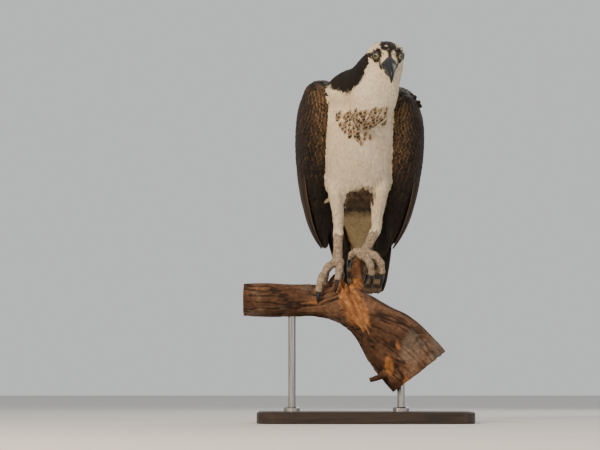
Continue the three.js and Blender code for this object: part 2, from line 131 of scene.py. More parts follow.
# =====================================================================
# lofts: the same forms as the solids, at a finer step
# =====================================================================
class Loft:
    """keys: x, y, z, half-width along side, half-depth across it, roll in degrees."""

    def __init__(self, keys, side=(1, 0, 0), square=2.0):
        self.keys = np.array([list(k[:5]) + [k[5] if len(k) > 5 else 0.0] for k in keys], float)
        d = np.linalg.norm(np.diff(self.keys[:, :3], axis=0), axis=1)
        self.dist = np.concatenate([[0], np.cumsum(d)])
        self.total = self.dist[-1]
        self.side = unit(np.array(side, float))
        self.square = square

    def read(self, s):
        s = np.atleast_1d(np.clip(s, 0, self.total))
        i = np.clip(np.searchsorted(self.dist, s, side="right") - 1, 0, len(self.dist) - 2)
        t = ((s - self.dist[i]) / (self.dist[i + 1] - self.dist[i]))[:, None]
        n = len(self.keys)
        a, b = self.keys[np.maximum(i - 1, 0)], self.keys[i]
        c, d = self.keys[i + 1], self.keys[np.minimum(i + 2, n - 1)]
        return 0.5 * (2 * b + (c - a) * t + (2 * a - 5 * b + 4 * c - d) * t * t
                      + (3 * b - a - 3 * c + d) * t ** 3)

    def frame(self, s):
        r = self.read(s)
        tan = unit(self.read(s + 0.5)[:, :3] - self.read(s - 0.5)[:, :3])
        a = unit(self.side - tan * (tan @ self.side)[:, None])
        b = np.cross(tan, a)
        roll = np.radians(r[:, 5])[:, None]
        u = a * np.cos(roll) + b * np.sin(roll)
        w = b * np.cos(roll) - a * np.sin(roll)
        return r, tan, u, w

    def at(self, s, q, grow=0.0):
        """Points on the surface at distance s and angle q (arrays of one length)."""
        r, tan, u, w = self.frame(s)
        cq, sq = np.cos(q), np.sin(q)
        e = 2 / self.square
        x = np.sign(cq) * np.abs(cq) ** e * (np.maximum(r[:, 3], 0.2) + grow)
        y = np.sign(sq) * np.abs(sq) ** e * (np.maximum(r[:, 4], 0.2) + grow)
        return r[:, :3] + u * x[:, None] + w * y[:, None]

    def normal(self, s, q):
        h, g = 0.6, 0.02
        ds = self.at(s + h, q) - self.at(s - h, q)
        dq = self.at(s, q + g) - self.at(s, q - g)
        n = unit(np.cross(dq, ds))
        r = self.read(s)[:, :3]
        p = self.at(s, q)
        flip = np.sign(np.sum(n * (p - r), axis=1))
        flip[flip == 0] = 1
        return n * flip[:, None]

    def mesh(self, around=48, along=60, grow=0.0, reshape=None):
        e = np.linspace(0, 1, along + 1)
        s = self.total * (0.5 * e + 0.25 * (1 - np.cos(np.pi * e)))
        q = np.arange(around) * 2 * np.pi / around
        S, Q = np.repeat(s, around), np.tile(q, along + 1)
        v = self.at(S, Q, grow)
        if reshape is not None:
            v = reshape(v, S / self.total, Q)
        faces = []
        for i in range(along):
            for j in range(around):
                k = (j + 1) % around
                faces.append((i * around + j, i * around + k, (i + 1) * around + k, (i + 1) * around + j))
        v = list(v)
        for row, way in ((0, -1), (along, 1)):
            ring = [row * around + j for j in range(around)]
            v.append(np.mean([v[k] for k in ring], axis=0))
            c = len(v) - 1
            for j in range(around):
                a, b = ring[j], ring[(j + 1) % around]
                faces.append((c, b, a) if way < 0 else (c, a, b))
        v = np.array(v)
        if signed_volume(v, faces) < 0:
            faces = [f[::-1] for f in faces]
        return v, faces


def signed_volume(v, faces):
    t = 0.0
    for f in faces:
        for k in range(1, len(f) - 1):
            t += np.dot(v[f[0]], np.cross(v[f[k]], v[f[k + 1]]))
    return t / 6


def head_loft(keys, square=2.0):
    rows = []
    for k in keys:
        f, u, w, h = k[:4]
        rows.append([*head_point(k[4] if len(k) > 4 else 0, f, u), w, h])
    return Loft(rows, HEAD_SIDE, square)


TRUNK = Loft([
    [3, -34, 531, 0.35 * BW, 0.25 * BD], [3, -32, 524, 0.66 * BW, 0.52 * BD],
    [3, -24, 500, 0.88 * BW, 0.78 * BD], [2, -14, 472, 0.98 * BW, 0.95 * BD],
    [0, -1, 444, BW, BD], [0, 17, 412, 0.97 * BW, 0.98 * BD], [0, 39, 380, 0.86 * BW, 0.88 * BD],
    [1, 66, 352, 0.68 * BW, 0.66 * BD], [3, 96, 326, 0.5 * BW, 0.44 * BD],
    [5, 126, 300, 0.37 * BW, 0.25 * BD], [7, 150, 279, 0.26 * BW, 0.12 * BD],
    [8, 156, 274, 0.14 * BW, 0.06 * BD]], square=2.15)
NAPE = Loft([
    [1, -12, 496, 51, 31], [1, -22, 506, 60, 41], [13, -42, 513, 53, 40],
    [22, -62, 524, 44, 35], [30, -82, 537, 38.5, 32], [36.5, -96, 545, 34, 29],
    [40, -106, 549, 23, 21]], side=(1, 0.25, 0.1))
THROAT = Loft([
    [40, -114, 534, 14, 12], [38, -108, 525, 24, 19], [30, -98, 508, 33, 24],
    [20, -88, 490, 38, 28], [12, -78, 470, 33, 26], [7, -70, 453, 20, 17], [6, -66, 447, 8, 7]],
    side=(1, 0, 0.15))
HEAD = head_loft([
    [-47, -13, 9, 9], [-44, -12, 19, 15], [-35, -9.2, 27.5, 19.4], [-22, -7.2, 30, 21.4],
    [-9, -5.2, 26.2, 20.6], [2, -5.2, 21.6, 18.6], [12, -7.4, 17, 15.2], [20, -8.6, 12.8, 12.6],
    [27, -9, 9.5, 9.5]], 2.15)


def brow(s):
    return head_loft([
        [13, 4, 2, 2, s * 13], [8, 7.4, 4, 3.2, s * 16], [-1, 9.4, 4.6, 3.6, s * 19],
        [-10, 9.4, 3.6, 3, s * 22], [-16, 8, 1.6, 1.6, s * 23]])


def wing(s):
    shift = np.array([6, 0, -18.0]) if s > 0 else np.zeros(3)
    keys = [
        [-68, -33, 525, 3, 7, 8], [-67, -31, 521, 12, 21, 8], [-65, -26, 512, 21, 34, 9],
        [-61, -10, 492, 32, 49, 10], [-61, 14, 458, 36.5, 58, 10], [-61, 46, 414, 35.5, 58, 10],
        [-59, 78, 371, 28.5, 52, 11], [-55.5, 108, 332, 19.5, 41, 12], [-51.5, 133, 300, 9.5, 25, 12],
        [-50, 146, 284, 5, 12, 12], [-48, 150, 279, 2, 5, 12]]
    out = []
    for i, k in enumerate(keys):
        t = min(i / 7, 1)
        f = 1 - t * t * (3 - 2 * t)
        out.append([-s * k[0] + shift[0] * (0.25 + 0.75 * f), k[1], k[2] + shift[2] * f,
                    k[3], k[4], -s * k[5]])
    return Loft(out, square=2.2)


WING = {-1: wing(-1), 1: wing(1)}


def thigh(s):
    x, y, z = HEEL[s]
    hip = 35 if s > 0 else -37
    return Loft([
        [hip, 22, 400, 18, 26], [hip, 16, 384, 19, 29], [hip, 12, 366, 14.5, 23],
        [0.6 * hip + 0.4 * x, 14, 343, 12, 17], [x, 19, 322, 10.8, 13],
        [x, y - 2, z + 3, 9.8, 11], [x, y, z - 7, 6.5, 7]])


def tarsus(s):
    a, b = HEEL[s], FOOT[s]
    at = lambda t: list(a + (b - a) * t)
    return Loft([
        [*at(-0.1), 6, 6], [*at(0), 8.6, 9.4], [*at(0.18), 8, 9], [*at(0.6), 7.4, 7.6],
        [*at(0.88), 8.2, 8], [*at(1), 8, 7.6], [*at(1.06), 5, 5]])


TOES = {
    -1: [
        [[-37, -12, 249], [-50, -24, 237], [-60, -31, 218], [-63, -32, 203]],
        [[-33, -14, 248], [-31, -27, 243], [-32, -35, 233], [-34, -36, 221]],
        [[-38, -4, 247], [-47, 11, 241], [-53, 24, 225], [-53, 27, 207]],
        [[-32, -2, 247], [-30, 13, 241], [-28, 26, 227], [-29, 29, 213]]],
    1: [
        [[12, -12, 262], [24, -19, 257], [33, -16, 245], [35, -12, 232]],
        [[8, -15, 261], [9, -24, 256], [16, -25, 243], [19, -20, 230]],
        [[3, -10, 263], [-4, -11, 264], [-10, -8, 261], [-13, -1, 255]],
        [[9, -3, 261], [13, 8, 257], [16, 15, 246], [14, 16, 232]]]}
TALON_TURN = {
    -1: [[0.35, 1, -0.1], [0, 1, -0.2], [0.2, -1, -0.1], [0, -1, -0.1]],
    1: [[-0.5, 0.6, -0.4], [-0.5, 0.7, -0.3], [0.45, 1, -0.5], [-0.6, -0.6, -0.4]]}


def foot_pad(s):
    x, y, z = FOOT[s]
    return Loft([[x, y + 9, z - 2, 6, 4], [x, y + 5, z - 2, 10, 8], [x, y - 3, z - 2.5, 11, 9],
                 [x, y - 9, z - 3, 9, 7.5], [x, y - 12, z - 3, 5, 4]])


def toe(path):
    r = TOE_RADIUS
    p = [np.array(q, float) for q in path]
    ks = [[*p[i], r * (1.12, 1.04, 1, 0.86)[i], r * (1.1, 1, 0.98, 0.86)[i]] for i in range(4)]
    end = p[3] + unit(p[3] - p[2]) * 3.5
    ks.append([*end, 0.5 * r, 0.5 * r])
    return Loft(ks, (1, 0.2, 0.1))


def talon(s, i):
    p = [np.array(q, float) for q in TOES[s][i]]
    down = unit(p[3] - p[2])
    axis = unit(np.array(TALON_TURN[s][i], float))
    at = lambda t: list(p[3] + down * ((TALON_LENGTH / 1.15) * math.sin(t * 1.15) * 0.98 + 0.5)
                        + axis * ((TALON_LENGTH / 1.15) * (1 - math.cos(t * 1.15))))
    return Loft([[*at(0.02), 3.6, 4], [*at(0.2), 3.4, 3.9], [*at(0.45), 2.7, 3.1],
                 [*at(0.7), 1.9, 2.1], [*at(0.9), 1, 1.1], [*at(1), 0.4, 0.4]], (1, 0.1, 0.2))


# =====================================================================
# meshes and materials
# =====================================================================
def new_object(name, verts, faces, smooth=True):
    me = bpy.data.meshes.new(name)
    me.from_pydata([tuple(p) for p in np.asarray(verts) * MM], [], [tuple(int(k) for k in f) for f in faces])
    me.update()
    if smooth:
        me.polygons.foreach_set("use_smooth", [True] * len(me.polygons))
    ob = bpy.data.objects.new(name, me)
    bpy.context.scene.collection.objects.link(ob)
    return ob


def quick_object(name, verts, quads, tris=None, smooth=True):
    """Fast mesh from arrays: quads (Q, 4) and tris (T, 3)."""
    me = bpy.data.meshes.new(name)
    nq = 0 if quads is None else len(quads)
    nt = 0 if tris is None else len(tris)
    loops = []
    if nq:
        loops.append(quads.reshape(-1))
    if nt:
        loops.append(tris.reshape(-1))
    loops = np.concatenate(loops).astype(np.int32)
    starts = np.concatenate([np.arange(nq) * 4, nq * 4 + np.arange(nt) * 3]).astype(np.int32)
    me.vertices.add(len(verts))
    me.vertices.foreach_set("co", (np.asarray(verts) * MM).astype(np.float32).ravel())
    me.loops.add(len(loops))
    me.loops.foreach_set("vertex_index", loops)
    me.polygons.add(nq + nt)
    me.polygons.foreach_set("loop_start", starts)
    if smooth:
        me.polygons.foreach_set("use_smooth", np.ones(nq + nt, bool))
    me.update(calc_edges=True)
    me.validate()
    ob = bpy.data.objects.new(name, me)
    bpy.context.scene.collection.objects.link(ob)
    return ob, loops


def vert_array(me):
    a = np.empty(len(me.vertices) * 3, np.float32)
    me.vertices.foreach_get("co", a)
    return a.reshape(-1, 3).astype(float) / MM


def set_verts(me, v):
    me.vertices.foreach_set("co", (v * MM).astype(np.float32).ravel())
    me.update()


def set_colour(me, rgb, name="Col"):
    at = me.color_attributes.new(name, "FLOAT_COLOR", "POINT")
    c = np.ones((len(me.vertices), 4), np.float32)
    c[:, :3] = np.clip(rgb, 0, 1)
    at.data.foreach_set("color", c.ravel())


def set_uv(me, name, uv_loops):
    lay = me.uv_layers.new(name=name)
    lay.data.foreach_set("uv", np.asarray(uv_loops, np.float32).ravel())


class Mat:
    """A small helper to wire a Principled material."""

    def __init__(self, name, rough=0.6, spec=0.5):
        self.m = bpy.data.materials.new(name)
        self.m.use_nodes = True
        self.t = self.m.node_tree
        self.n = self.t.nodes
        self.b = self.n["Principled BSDF"]
        self.b.inputs["Roughness"].default_value = rough
        self.b.inputs["Specular IOR Level"].default_value = spec

    def add(self, kind, **kw):
        n = self.n.new(kind)
        for k, v in kw.items():
            if k.startswith("i_"):
                n.inputs[int(k[2:])].default_value = v
            else:
                setattr(n, k, v)
        return n

    def link(self, a, b):
        self.t.links.new(a, b)

    def ramp(self, src, stops, interp="LINEAR"):
        r = self.add("ShaderNodeValToRGB")
        r.color_ramp.interpolation = interp
        e = r.color_ramp.elements
        while len(e) < len(stops):
            e.new(0.5)
        for k, (pos, col) in enumerate(stops):
            e[k].position = pos
            e[k].color = (*col, 1)
        self.link(src, r.inputs[0])
        return r.outputs[0]

    def noise(self, scale, detail=4, rough=0.55, vec=None, stretch=None):
        if vec is None:
            vec = self.add("ShaderNodeTexCoord").outputs["Object"]
        if stretch is not None:
            mp = self.add("ShaderNodeMapping")
            mp.inputs["Scale"].default_value = stretch
            self.link(vec, mp.inputs[0])
            vec = mp.outputs[0]
        n = self.add("ShaderNodeTexNoise")
        n.inputs["Scale"].default_value = scale
        n.inputs["Detail"].default_value = detail
        n.inputs["Roughness"].default_value = rough
        self.link(vec, n.inputs["Vector"])
        return n.outputs[0]

    def mix(self, fac, a, b, mode="MIX"):
        m = self.add("ShaderNodeMix", data_type="RGBA", blend_type=mode)
        for sock, val in ((m.inputs[0], fac), (m.inputs[6], a), (m.inputs[7], b)):
            if isinstance(val, (int, float)):
                sock.default_value = val
            elif isinstance(val, tuple):
                sock.default_value = (*val, 1)
            else:
                self.link(val, sock)
        return m.outputs[2]

    def bump(self, height, strength=0.3, distance=0.001, normal=None):
        b = self.add("ShaderNodeBump")
        b.inputs["Strength"].default_value = strength
        b.inputs["Distance"].default_value = distance
        self.link(height, b.inputs["Height"])
        if normal is not None:
            self.link(normal, b.inputs["Normal"])
        self.link(b.outputs[0], self.b.inputs["Normal"])
        return b.outputs[0]

    def map(self, src, lo, hi, a=0.0, b=1.0):
        m = self.add("ShaderNodeMapRange")
        m.inputs[1].default_value, m.inputs[2].default_value = lo, hi
        m.inputs[3].default_value, m.inputs[4].default_value = a, b
        self.link(src, m.inputs[0])
        return m.outputs[0]

    def colour(self, src):
        self.link(src, self.b.inputs["Base Color"])

    def rough(self, src):
        self.link(src, self.b.inputs["Roughness"])


def feather_material(name, rough=0.72, barb=0.35):
    m = Mat(name, rough, 0.25)
    col = m.add("ShaderNodeAttribute", attribute_name="Col").outputs[0]
    n = m.noise(420, 3)
    c = m.mix(m.map(n, 0.3, 0.75), m.mix(1.0, col, (0.82, 0.8, 0.78), "MULTIPLY"), col)
    m.colour(c)
    uv = m.add("ShaderNodeUVMap", uv_map="vane")
    sep = m.add("ShaderNodeSeparateXYZ")
    m.link(uv.outputs[0], sep.inputs[0])
    # barbs run out and forward from the shaft
    ax = m.add("ShaderNodeMath", operation="SUBTRACT", i_1=0.5)
    m.link(sep.outputs[0], ax.inputs[0])
    ab = m.add("ShaderNodeMath", operation="ABSOLUTE")
    m.link(ax.outputs[0], ab.inputs[0])
    k = m.add("ShaderNodeMath", operation="MULTIPLY", i_1=0.55)
    m.link(ab.outputs[0], k.inputs[0])
    d = m.add("ShaderNodeMath", operation="SUBTRACT")
    m.link(sep.outputs[1], d.inputs[0])
    m.link(k.outputs[0], d.inputs[1])
    f = m.add("ShaderNodeMath", operation="MULTIPLY", i_1=210.0)
    m.link(d.outputs[0], f.inputs[0])
    s = m.add("ShaderNodeMath", operation="SINE")
    m.link(f.outputs[0], s.inputs[0])
    m.bump(s.outputs[0], barb, 0.00025)
    return m.m


MAT_WHITE = feather_material("plumage_white", 0.8, 0.3)
MAT_BROWN = feather_material("plumage_brown", 0.7, 0.35)


def skin_material():
    m = Mat("skin_under_feathers", 0.8, 0.25)
    col = m.add("ShaderNodeAttribute", attribute_name="Col").outputs[0]
    n = m.noise(260, 4)
    # scaly on the shanks and toes, downy elsewhere
    leg = m.add("ShaderNodeAttribute", attribute_name="scaly").outputs["Fac"]
    tc = m.add("ShaderNodeTexCoord").outputs["Object"]
    v = m.add("ShaderNodeTexVoronoi", feature="DISTANCE_TO_EDGE")
    v.inputs["Scale"].default_value = 360
    m.link(tc, v.inputs["Vector"])
    groove = m.map(v.outputs["Distance"], 0.0, 0.12, 1.0, 0.0)
    g = m.add("ShaderNodeMath", operation="MULTIPLY")
    m.link(groove, g.inputs[0])
    m.link(leg, g.inputs[1])
    base = m.mix(m.map(n, 0.25, 0.8), m.mix(1.0, col, (0.74, 0.70, 0.66), "MULTIPLY"), col)
    m.colour(m.mix(g.outputs[0], base, m.mix(1.0, base, (0.42, 0.36, 0.32), "MULTIPLY")))
    inv = m.map(g.outputs[0], 0.0, 1.0, 1.0, 0.0)
    a = m.add("ShaderNodeMath", operation="ADD")
    m.link(inv, a.inputs[0])
    nn = m.add("ShaderNodeMath", operation="MULTIPLY", i_1=0.3)
    m.link(n, nn.inputs[0])
    m.link(nn.outputs[0], a.inputs[1])
    m.bump(a.outputs[0], 0.9, 0.0011)
    return m.m


def horn_material():
    m = Mat("horn_dark", 0.34, 0.5)
    col = m.add("ShaderNodeAttribute", attribute_name="Col").outputs[0]
    n = m.noise(300, 4, stretch=(1, 1, 0.25))
    m.colour(m.mix(m.map(n, 0.3, 0.7), m.mix(1.0, col, (0.7, 0.7, 0.72), "MULTIPLY"), col))
    m.rough(m.map(m.noise(700, 3), 0.3, 0.7, 0.28, 0.5))
    m.bump(n, 0.25, 0.0004)
    return m.m


def talon_material():
    m = Mat("talon_black", 0.25, 0.55)
    n = m.noise(500, 4, stretch=(1, 1, 0.2))
    m.colour(m.ramp(n, [(0.3, (0.006, 0.006, 0.007)), (0.75, (0.028, 0.026, 0.026))]))
    m.rough(m.map(n, 0.3, 0.7, 0.18, 0.38))
    m.bump(n, 0.2, 0.0003)
    return m.m


MAT_SKIN, MAT_HORN, MAT_TALON = skin_material(), horn_material(), talon_material()

# =====================================================================
# plumage colours and markings: functions of place on the bird
# =====================================================================
WHITE = np.array([0.79, 0.675, 0.50])
CREAM = np.array([0.70, 0.565, 0.375])
BROWN = np.array([0.030, 0.0185, 0.012])
DARK = np.array([0.012, 0.0085, 0.0075])
TAN = np.array([0.30, 0.175, 0.085])
EDGE = np.array([0.21, 0.125, 0.065])
SCALE = np.array([0.60, 0.475, 0.355])


def neck_dark(p):
    """1 on the dark sides and back of the neck and the mantle, 0 on the white front."""
    x, y, z = p.T
    wob = (noise(p, 8, 3) - 0.5) * 9 + (noise(p, 3.2, 4) - 0.5) * 5
    # lower border of the dark patch on the bird's right, seen from in front
    border = np.interp(x, [-62, -53, -40, -25, -12, -3, 5, 9, 13, 20], [525, 518, 507, 500, 503, 510, 521, 533, 556, 590])
    right = sstep(-3, 3, z - border + 0.8 * wob) * sstep(26, 12, x + 0.4 * wob)
    # the left side of the neck: a narrow dark edge, hidden behind the white throat
    left = sstep(57, 62, x + 0.3 * wob) * sstep(520, 512, z)
    # everything behind is dark mantle
    line_y = np.interp(z, [440, 480, 510, 540, 570], [20, -5, -36, -72, -92])
    back = sstep(-2, 8, y - line_y + 0.6 * wob)
    return np.clip(np.maximum.reduce([right, left, back]), 0, 1)


def marking(p, region):
    """Colour of the plumage at p (N, 3), and how dark it is (0 white, 1 brown)."""
    p = np.atleast_2d(p)
    l, f, u = head_local(p)
    al = np.abs(l)
    wob = noise(p, 5.5, 11) - 0.5
    fine = noise(p, 2.6, 12) - 0.5
    isneck, ishead = region == R_NECK, region == R_HEAD
    istrunk, iswing = region == R_TRUNK, region == R_WING
    # trunk: white in front, dark mantle behind
    r, tan, uu, ww = TRUNK.frame(TRUNK_S(p))
    back = -np.sum((p - r[:, :3]) * ww, axis=1) / r[:, 4]
    dark = np.where(istrunk, sstep(0.12, 0.30, back + 0.1 * wob), 0.0)
    dark = np.where(isneck, neck_dark(p), dark)
    dark = np.where(iswing, 1.0, dark)
    # head: a broad dark stripe from behind the eye, falling back to the nape
    fb = np.clip(-(f + 3), 0, 60)
    mid = -0.5 - 0.52 * fb
    half = 4.6 + 0.16 * fb
    stripe = sstep(half + 1.2, half - 1.6, np.abs(u - mid) + 3.0 * wob) * sstep(-3, -9, f) * sstep(10, 15, al)
    # dark lores from the eye down to the gape
    lmid = np.interp(f, [-2, 6, 13, 20], [2.5, 0.0, -5.0, -9.5])
    lhalf = np.interp(f, [-6, 2, 10, 20], [5.0, 5.2, 5.4, 4.0])
    lores = sstep(lhalf + 1.4, lhalf - 1.4, np.abs(u - lmid) + 2.2 * wob + 1.6 * fine) * sstep(6.5, 9.5, al)
    lores = lores * sstep(-8, -3, f) * sstep(23, 18, f)
    # dark crown, narrowing to a line between two white patches above the bill
    cw = np.interp(f, [-44, -30, -16, -5, 1, 5, 9, 22], [7, 10, 12, 14.0, 11.5, 4.6, 3.0, 2.4])
    crown = sstep(cw + 1.6, cw - 1.6, np.abs(l - 0.8) + 3.2 * wob * sstep(9, 0, f) + 1.6 * fine) * sstep(1, 5, u)
    spot = sstep(3.2, 1.7, np.hypot(l + 2.5, f + 8.0)) * sstep(6, 9, u)
    crown = crown * (1 - 0.85 * spot) * (1 - 0.5 * sstep(0.62, 0.72, noise(p, 3.4, 23)) * sstep(-10, -2, f) * sstep(8, 3, f))
    # short streaks over the white front of the crown and brow
    brow_s = 0.75 * sstep(0.60, 0.74, noise(p, 2.8, 29)) * sstep(-12, -4, f) * sstep(12, 6, f) * sstep(4, 7, u)
    nape = sstep(-24, -36, f) * sstep(0.60, 0.42, noise(p, 4.5, 21)) * 0.8
    gape = sstep(5.6, 3.4, np.hypot(np.hypot(0.8 * (al - 12.5), f - 16), u + 11.0))
    ring = np.zeros(len(p))
    for s_ in (-1, 1):
        r_ = np.linalg.norm((p - head_point(s_ * EYE_SIDE, -1, 0.6)) * 1.0, axis=1)
        ring = np.maximum(ring, sstep(12.6, 10.6, r_ + 1.6 * fine))
    side_b = 0.9 * sstep(0.46, 0.58, noise(p, 3.3, 31)) * sstep(4, 7, l) * sstep(-16, -9, f) * sstep(7, 3, f) * sstep(5, 8, u)
    h = np.clip(np.maximum.reduce([stripe, 0.86 * lores, ring, side_b, crown, brow_s, nape, gape]), 0, 1)
    h = np.where((u < -14) & (f > -6), np.minimum(h, gape), h)
    dark = np.where(ishead, h, dark)
    mott = fbm(p, 16, 3, 5)
    white = lerp(WHITE, CREAM, (sstep(0.42, 0.75, mott) * 0.5)[:, None])
    # under the belly: painted shade between the legs, dark and barred, then yellowish undertail coverts
    ysh = p[:, 1]
    under = (istrunk * sstep(366, 358, p[:, 2] + 5 * wob + 0.018 * (p[:, 0] - 3) ** 2) * sstep(-30, -10, ysh)
             * sstep(27, 21, np.abs(p[:, 0] - 3) + sstep(345, 325, p[:, 2]) * -12))
    bars = 0.55 + 0.45 * np.sin(p[:, 2] * 0.62 + 3 * wob)
    # painted shade: a dark barred colour stands in for the shadow under the belly
    barred_painted_shade = lerp(np.array([0.030, 0.020, 0.013]), np.array([0.15, 0.092, 0.050]), (bars * 0.6)[:, None])
    vent = np.array([0.52, 0.385, 0.195])
    low = lerp(barred_painted_shade, vent, sstep(332, 318, p[:, 2] + 6 * wob)[:, None])
    white = lerp(white, low, under[:, None])
    # dark line along each flank, in the shade of the folded wing
    flank = istrunk * sstep(46, 58, np.abs(p[:, 0] - 1)) * sstep(515, 490, p[:, 2]) * 0.35
    white = lerp(white, TAN, flank[:, None])
    brown = lerp(BROWN, DARK, (sstep(0.35, 0.65, mott) * 0.6)[:, None])
    brown = np.where((isneck | ishead)[:, None], lerp(brown, DARK, 0.85) * 0.62, brown)
    brown = np.where((ishead & (lores > stripe))[:, None], np.array([0.040, 0.022, 0.013]), brown)
    col = lerp(white, brown, dark[:, None])
    return col, dark


R_TRUNK, R_NECK, R_HEAD, R_WING, R_THIGH, R_SHANK, R_FOOT = range(7)
R_TOE = 7
_ts = np.linspace(0, TRUNK.total, 60)
_tc = TRUNK.read(_ts)[:, :3]


def TRUNK_S(p):
    d = ((p[:, None, :] - _tc[None]) ** 2).sum(-1) if len(p) < 4000 else None
    if d is not None:
        return _ts[np.argmin(d, axis=1)]
    out = np.empty(len(p))
    for k in range(0, len(p), 4000):
        d = ((p[k:k + 4000, None, :] - _tc[None]) ** 2).sum(-1)
        out[k:k + 4000] = _ts[np.argmin(d, axis=1)]
    return out


# =====================================================================
# the skin: one closed surface through trunk, neck, head, wings and legs
# =====================================================================
def build_skin():
    shapes = [
        (TRUNK, 90, 90, R_TRUNK), (NAPE, 64, 40, R_NECK), (THROAT, 60, 40, R_NECK),
        (HEAD, 72, 50, R_HEAD), (brow(-1), 20, 20, R_HEAD), (brow(1), 20, 20, R_HEAD)]
    for s in (-1, 1):
        shapes += [(WING[s], 64, 80, R_WING), (thigh(s), 40, 40, R_THIGH), (tarsus(s), 32, 26, R_SHANK),
                   (foot_pad(s), 28, 16, R_FOOT)]
        shapes += [(toe(t), 24, 44, R_TOE) for t in TOES[s]]
    V, F, L, n = [], [], [], 0
    for sh, ar, al, reg in shapes:
        knuckle = None
        if reg == R_TOE:
            def knuckle(v, t, q, sh=sh):
                c = sh.read(t * sh.total)[:, :3]
                return c + (v - c) * (0.97 + 0.11 * np.cos(2 * np.pi * 3.1 * t + 0.5))[:, None]
            reg = R_FOOT
        v, f = sh.mesh(ar, al, reshape=knuckle)
        V.append(v)
        F += [tuple(k + n for k in q) for q in f]
        L += [reg] * len(v)
        n += len(v)
    V = np.concatenate(V)
    src = new_object("skin_source", V, F)
    md = src.modifiers.new("r", "REMESH")
    md.mode = "VOXEL"
    md.voxel_size = (0.0017)
    dg = bpy.context.evaluated_depsgraph_get()
    me = bpy.data.meshes.new_from_object(src.evaluated_get(dg))
    bpy.data.objects.remove(src)
    me.name = "skin"
    ob = bpy.data.objects.new("skin", me)
    bpy.context.scene.collection.objects.link(ob)
    v = vert_array(me)
    kd = KDTree(len(V))
    for i, p in enumerate(V):
        kd.insert(p, i)
    kd.balance()
    lab = np.array([L[kd.find(p)[1]] for p in v])
    e = np.empty(len(me.edges) * 2, np.int32)
    me.edges.foreach_get("vertices", e)
    e = e.reshape(-1, 2)
    deg = np.bincount(e.ravel(), minlength=len(v)).astype(float)[:, None]

    def relax(v, n, w):
        for _ in range(n):
            acc = np.zeros_like(v)
            np.add.at(acc, e[:, 0], v[e[:, 1]])
            np.add.at(acc, e[:, 1], v[e[:, 0]])
            v = v + (acc / deg - v) * w
        return v

    soft = np.isin(lab, (R_TRUNK, R_NECK, R_HEAD, R_WING, R_THIGH)).astype(float)
    for _ in range(3):
        acc = np.zeros(len(v))
        np.add.at(acc, e[:, 0], soft[e[:, 1]])
        np.add.at(acc, e[:, 1], soft[e[:, 0]])
        soft = 0.5 * soft + 0.5 * acc / deg[:, 0]
    v = relax(v, 2, 0.5)
    v = relax(v, 10, (0.5 * soft)[:, None])
    set_verts(me, v)
    # draw the skin in by the depth of the coat
    nrm = np.empty(len(v) * 3, np.float32)
    me.vertices.foreach_get("normal", nrm)
    nrm = nrm.reshape(-1, 3).astype(float)
    depth = np.select([lab == R_HEAD, lab == R_NECK, lab == R_TRUNK, lab == R_WING, lab == R_THIGH],
                      [1.5, 2.8, 3.0, 2.6, 2.0], 0.15)
    for _ in range(6):
        acc = np.zeros(len(v))
        np.add.at(acc, e[:, 0], depth[e[:, 1]])
        np.add.at(acc, e[:, 1], depth[e[:, 0]])
        depth = 0.4 * depth + 0.6 * acc / deg[:, 0]
    v = v - nrm * depth[:, None]
    # sockets: the skin dips behind each eyeball and rises in a rim round it
    for s in (-1, 1):
        c = head_point(s * EYE_SIDE, -1, 0.6)
        g = gaze(s)
        d = v - c
        r = np.linalg.norm(d, axis=1)
        ang = np.degrees(np.arccos(np.clip((d @ g) / np.maximum(r, 1e-6), -1, 1)))
        near = r < 17
        inner = sstep(53, 44, ang) * near
        target = EYE_RADIUS - 1.6
        v = np.where((near & (r > target))[:, None], v - unit(d) * ((r - target) * inner)[:, None], v)
        rim = np.exp(-((ang - 60) / 11.0) ** 2) * near * (np.abs(r - 10) < 8)
        want = EYE_RADIUS + 0.55
        v = v + unit(d) * ((want - r) * rim * 0.75)[:, None]
    set_verts(me, v)
    me.polygons.foreach_set("use_smooth", [True] * len(me.polygons))
    me.update()
    return ob, lab


def gaze(s):
    return unit(HEAD_R @ np.array([s * 0.60, -0.74, 0.26]))


skin, SKIN_LAB = build_skin()
SKIN_V = vert_array(skin.data)
SKIN_N = np.empty(len(SKIN_V) * 3, np.float32)
skin.data.vertices.foreach_get("normal", SKIN_N)
SKIN_N = SKIN_N.reshape(-1, 3).astype(float)
skin_col, _ = marking(SKIN_V, SKIN_LAB)
leg = np.isin(SKIN_LAB, (R_SHANK, R_FOOT))
legn = fbm(SKIN_V, 7, 3, 9)[:, None]
skin_col = np.where(leg[:, None], lerp(SCALE * 0.75, SCALE * 1.1, legn), skin_col)
# the legs and feet a little darker in patches that follow a noise
skin_col = np.where(leg[:, None], skin_col * lerp(0.72, 1.0, sstep(0.35, 0.6, noise(SKIN_V, 3.1, 4)))[:, None], skin_col)
set_colour(skin.data, skin_col)
at = skin.data.attributes.new("scaly", "FLOAT", "POINT")
at.data.foreach_set("value", leg.astype(np.float32))
skin.data.materials.append(MAT_SKIN)

# faces of the skin as triangles, for sampling and for the unwrap
skin.data.calc_loop_triangles()
TRI = np.empty(len(skin.data.loop_triangles) * 3, np.int32)
skin.data.loop_triangles.foreach_get("vertices", TRI)
TRI = TRI.reshape(-1, 3)
BVH = BVHTree.FromPolygons([tuple(p) for p in SKIN_V], [tuple(int(k) for k in t) for t in TRI])


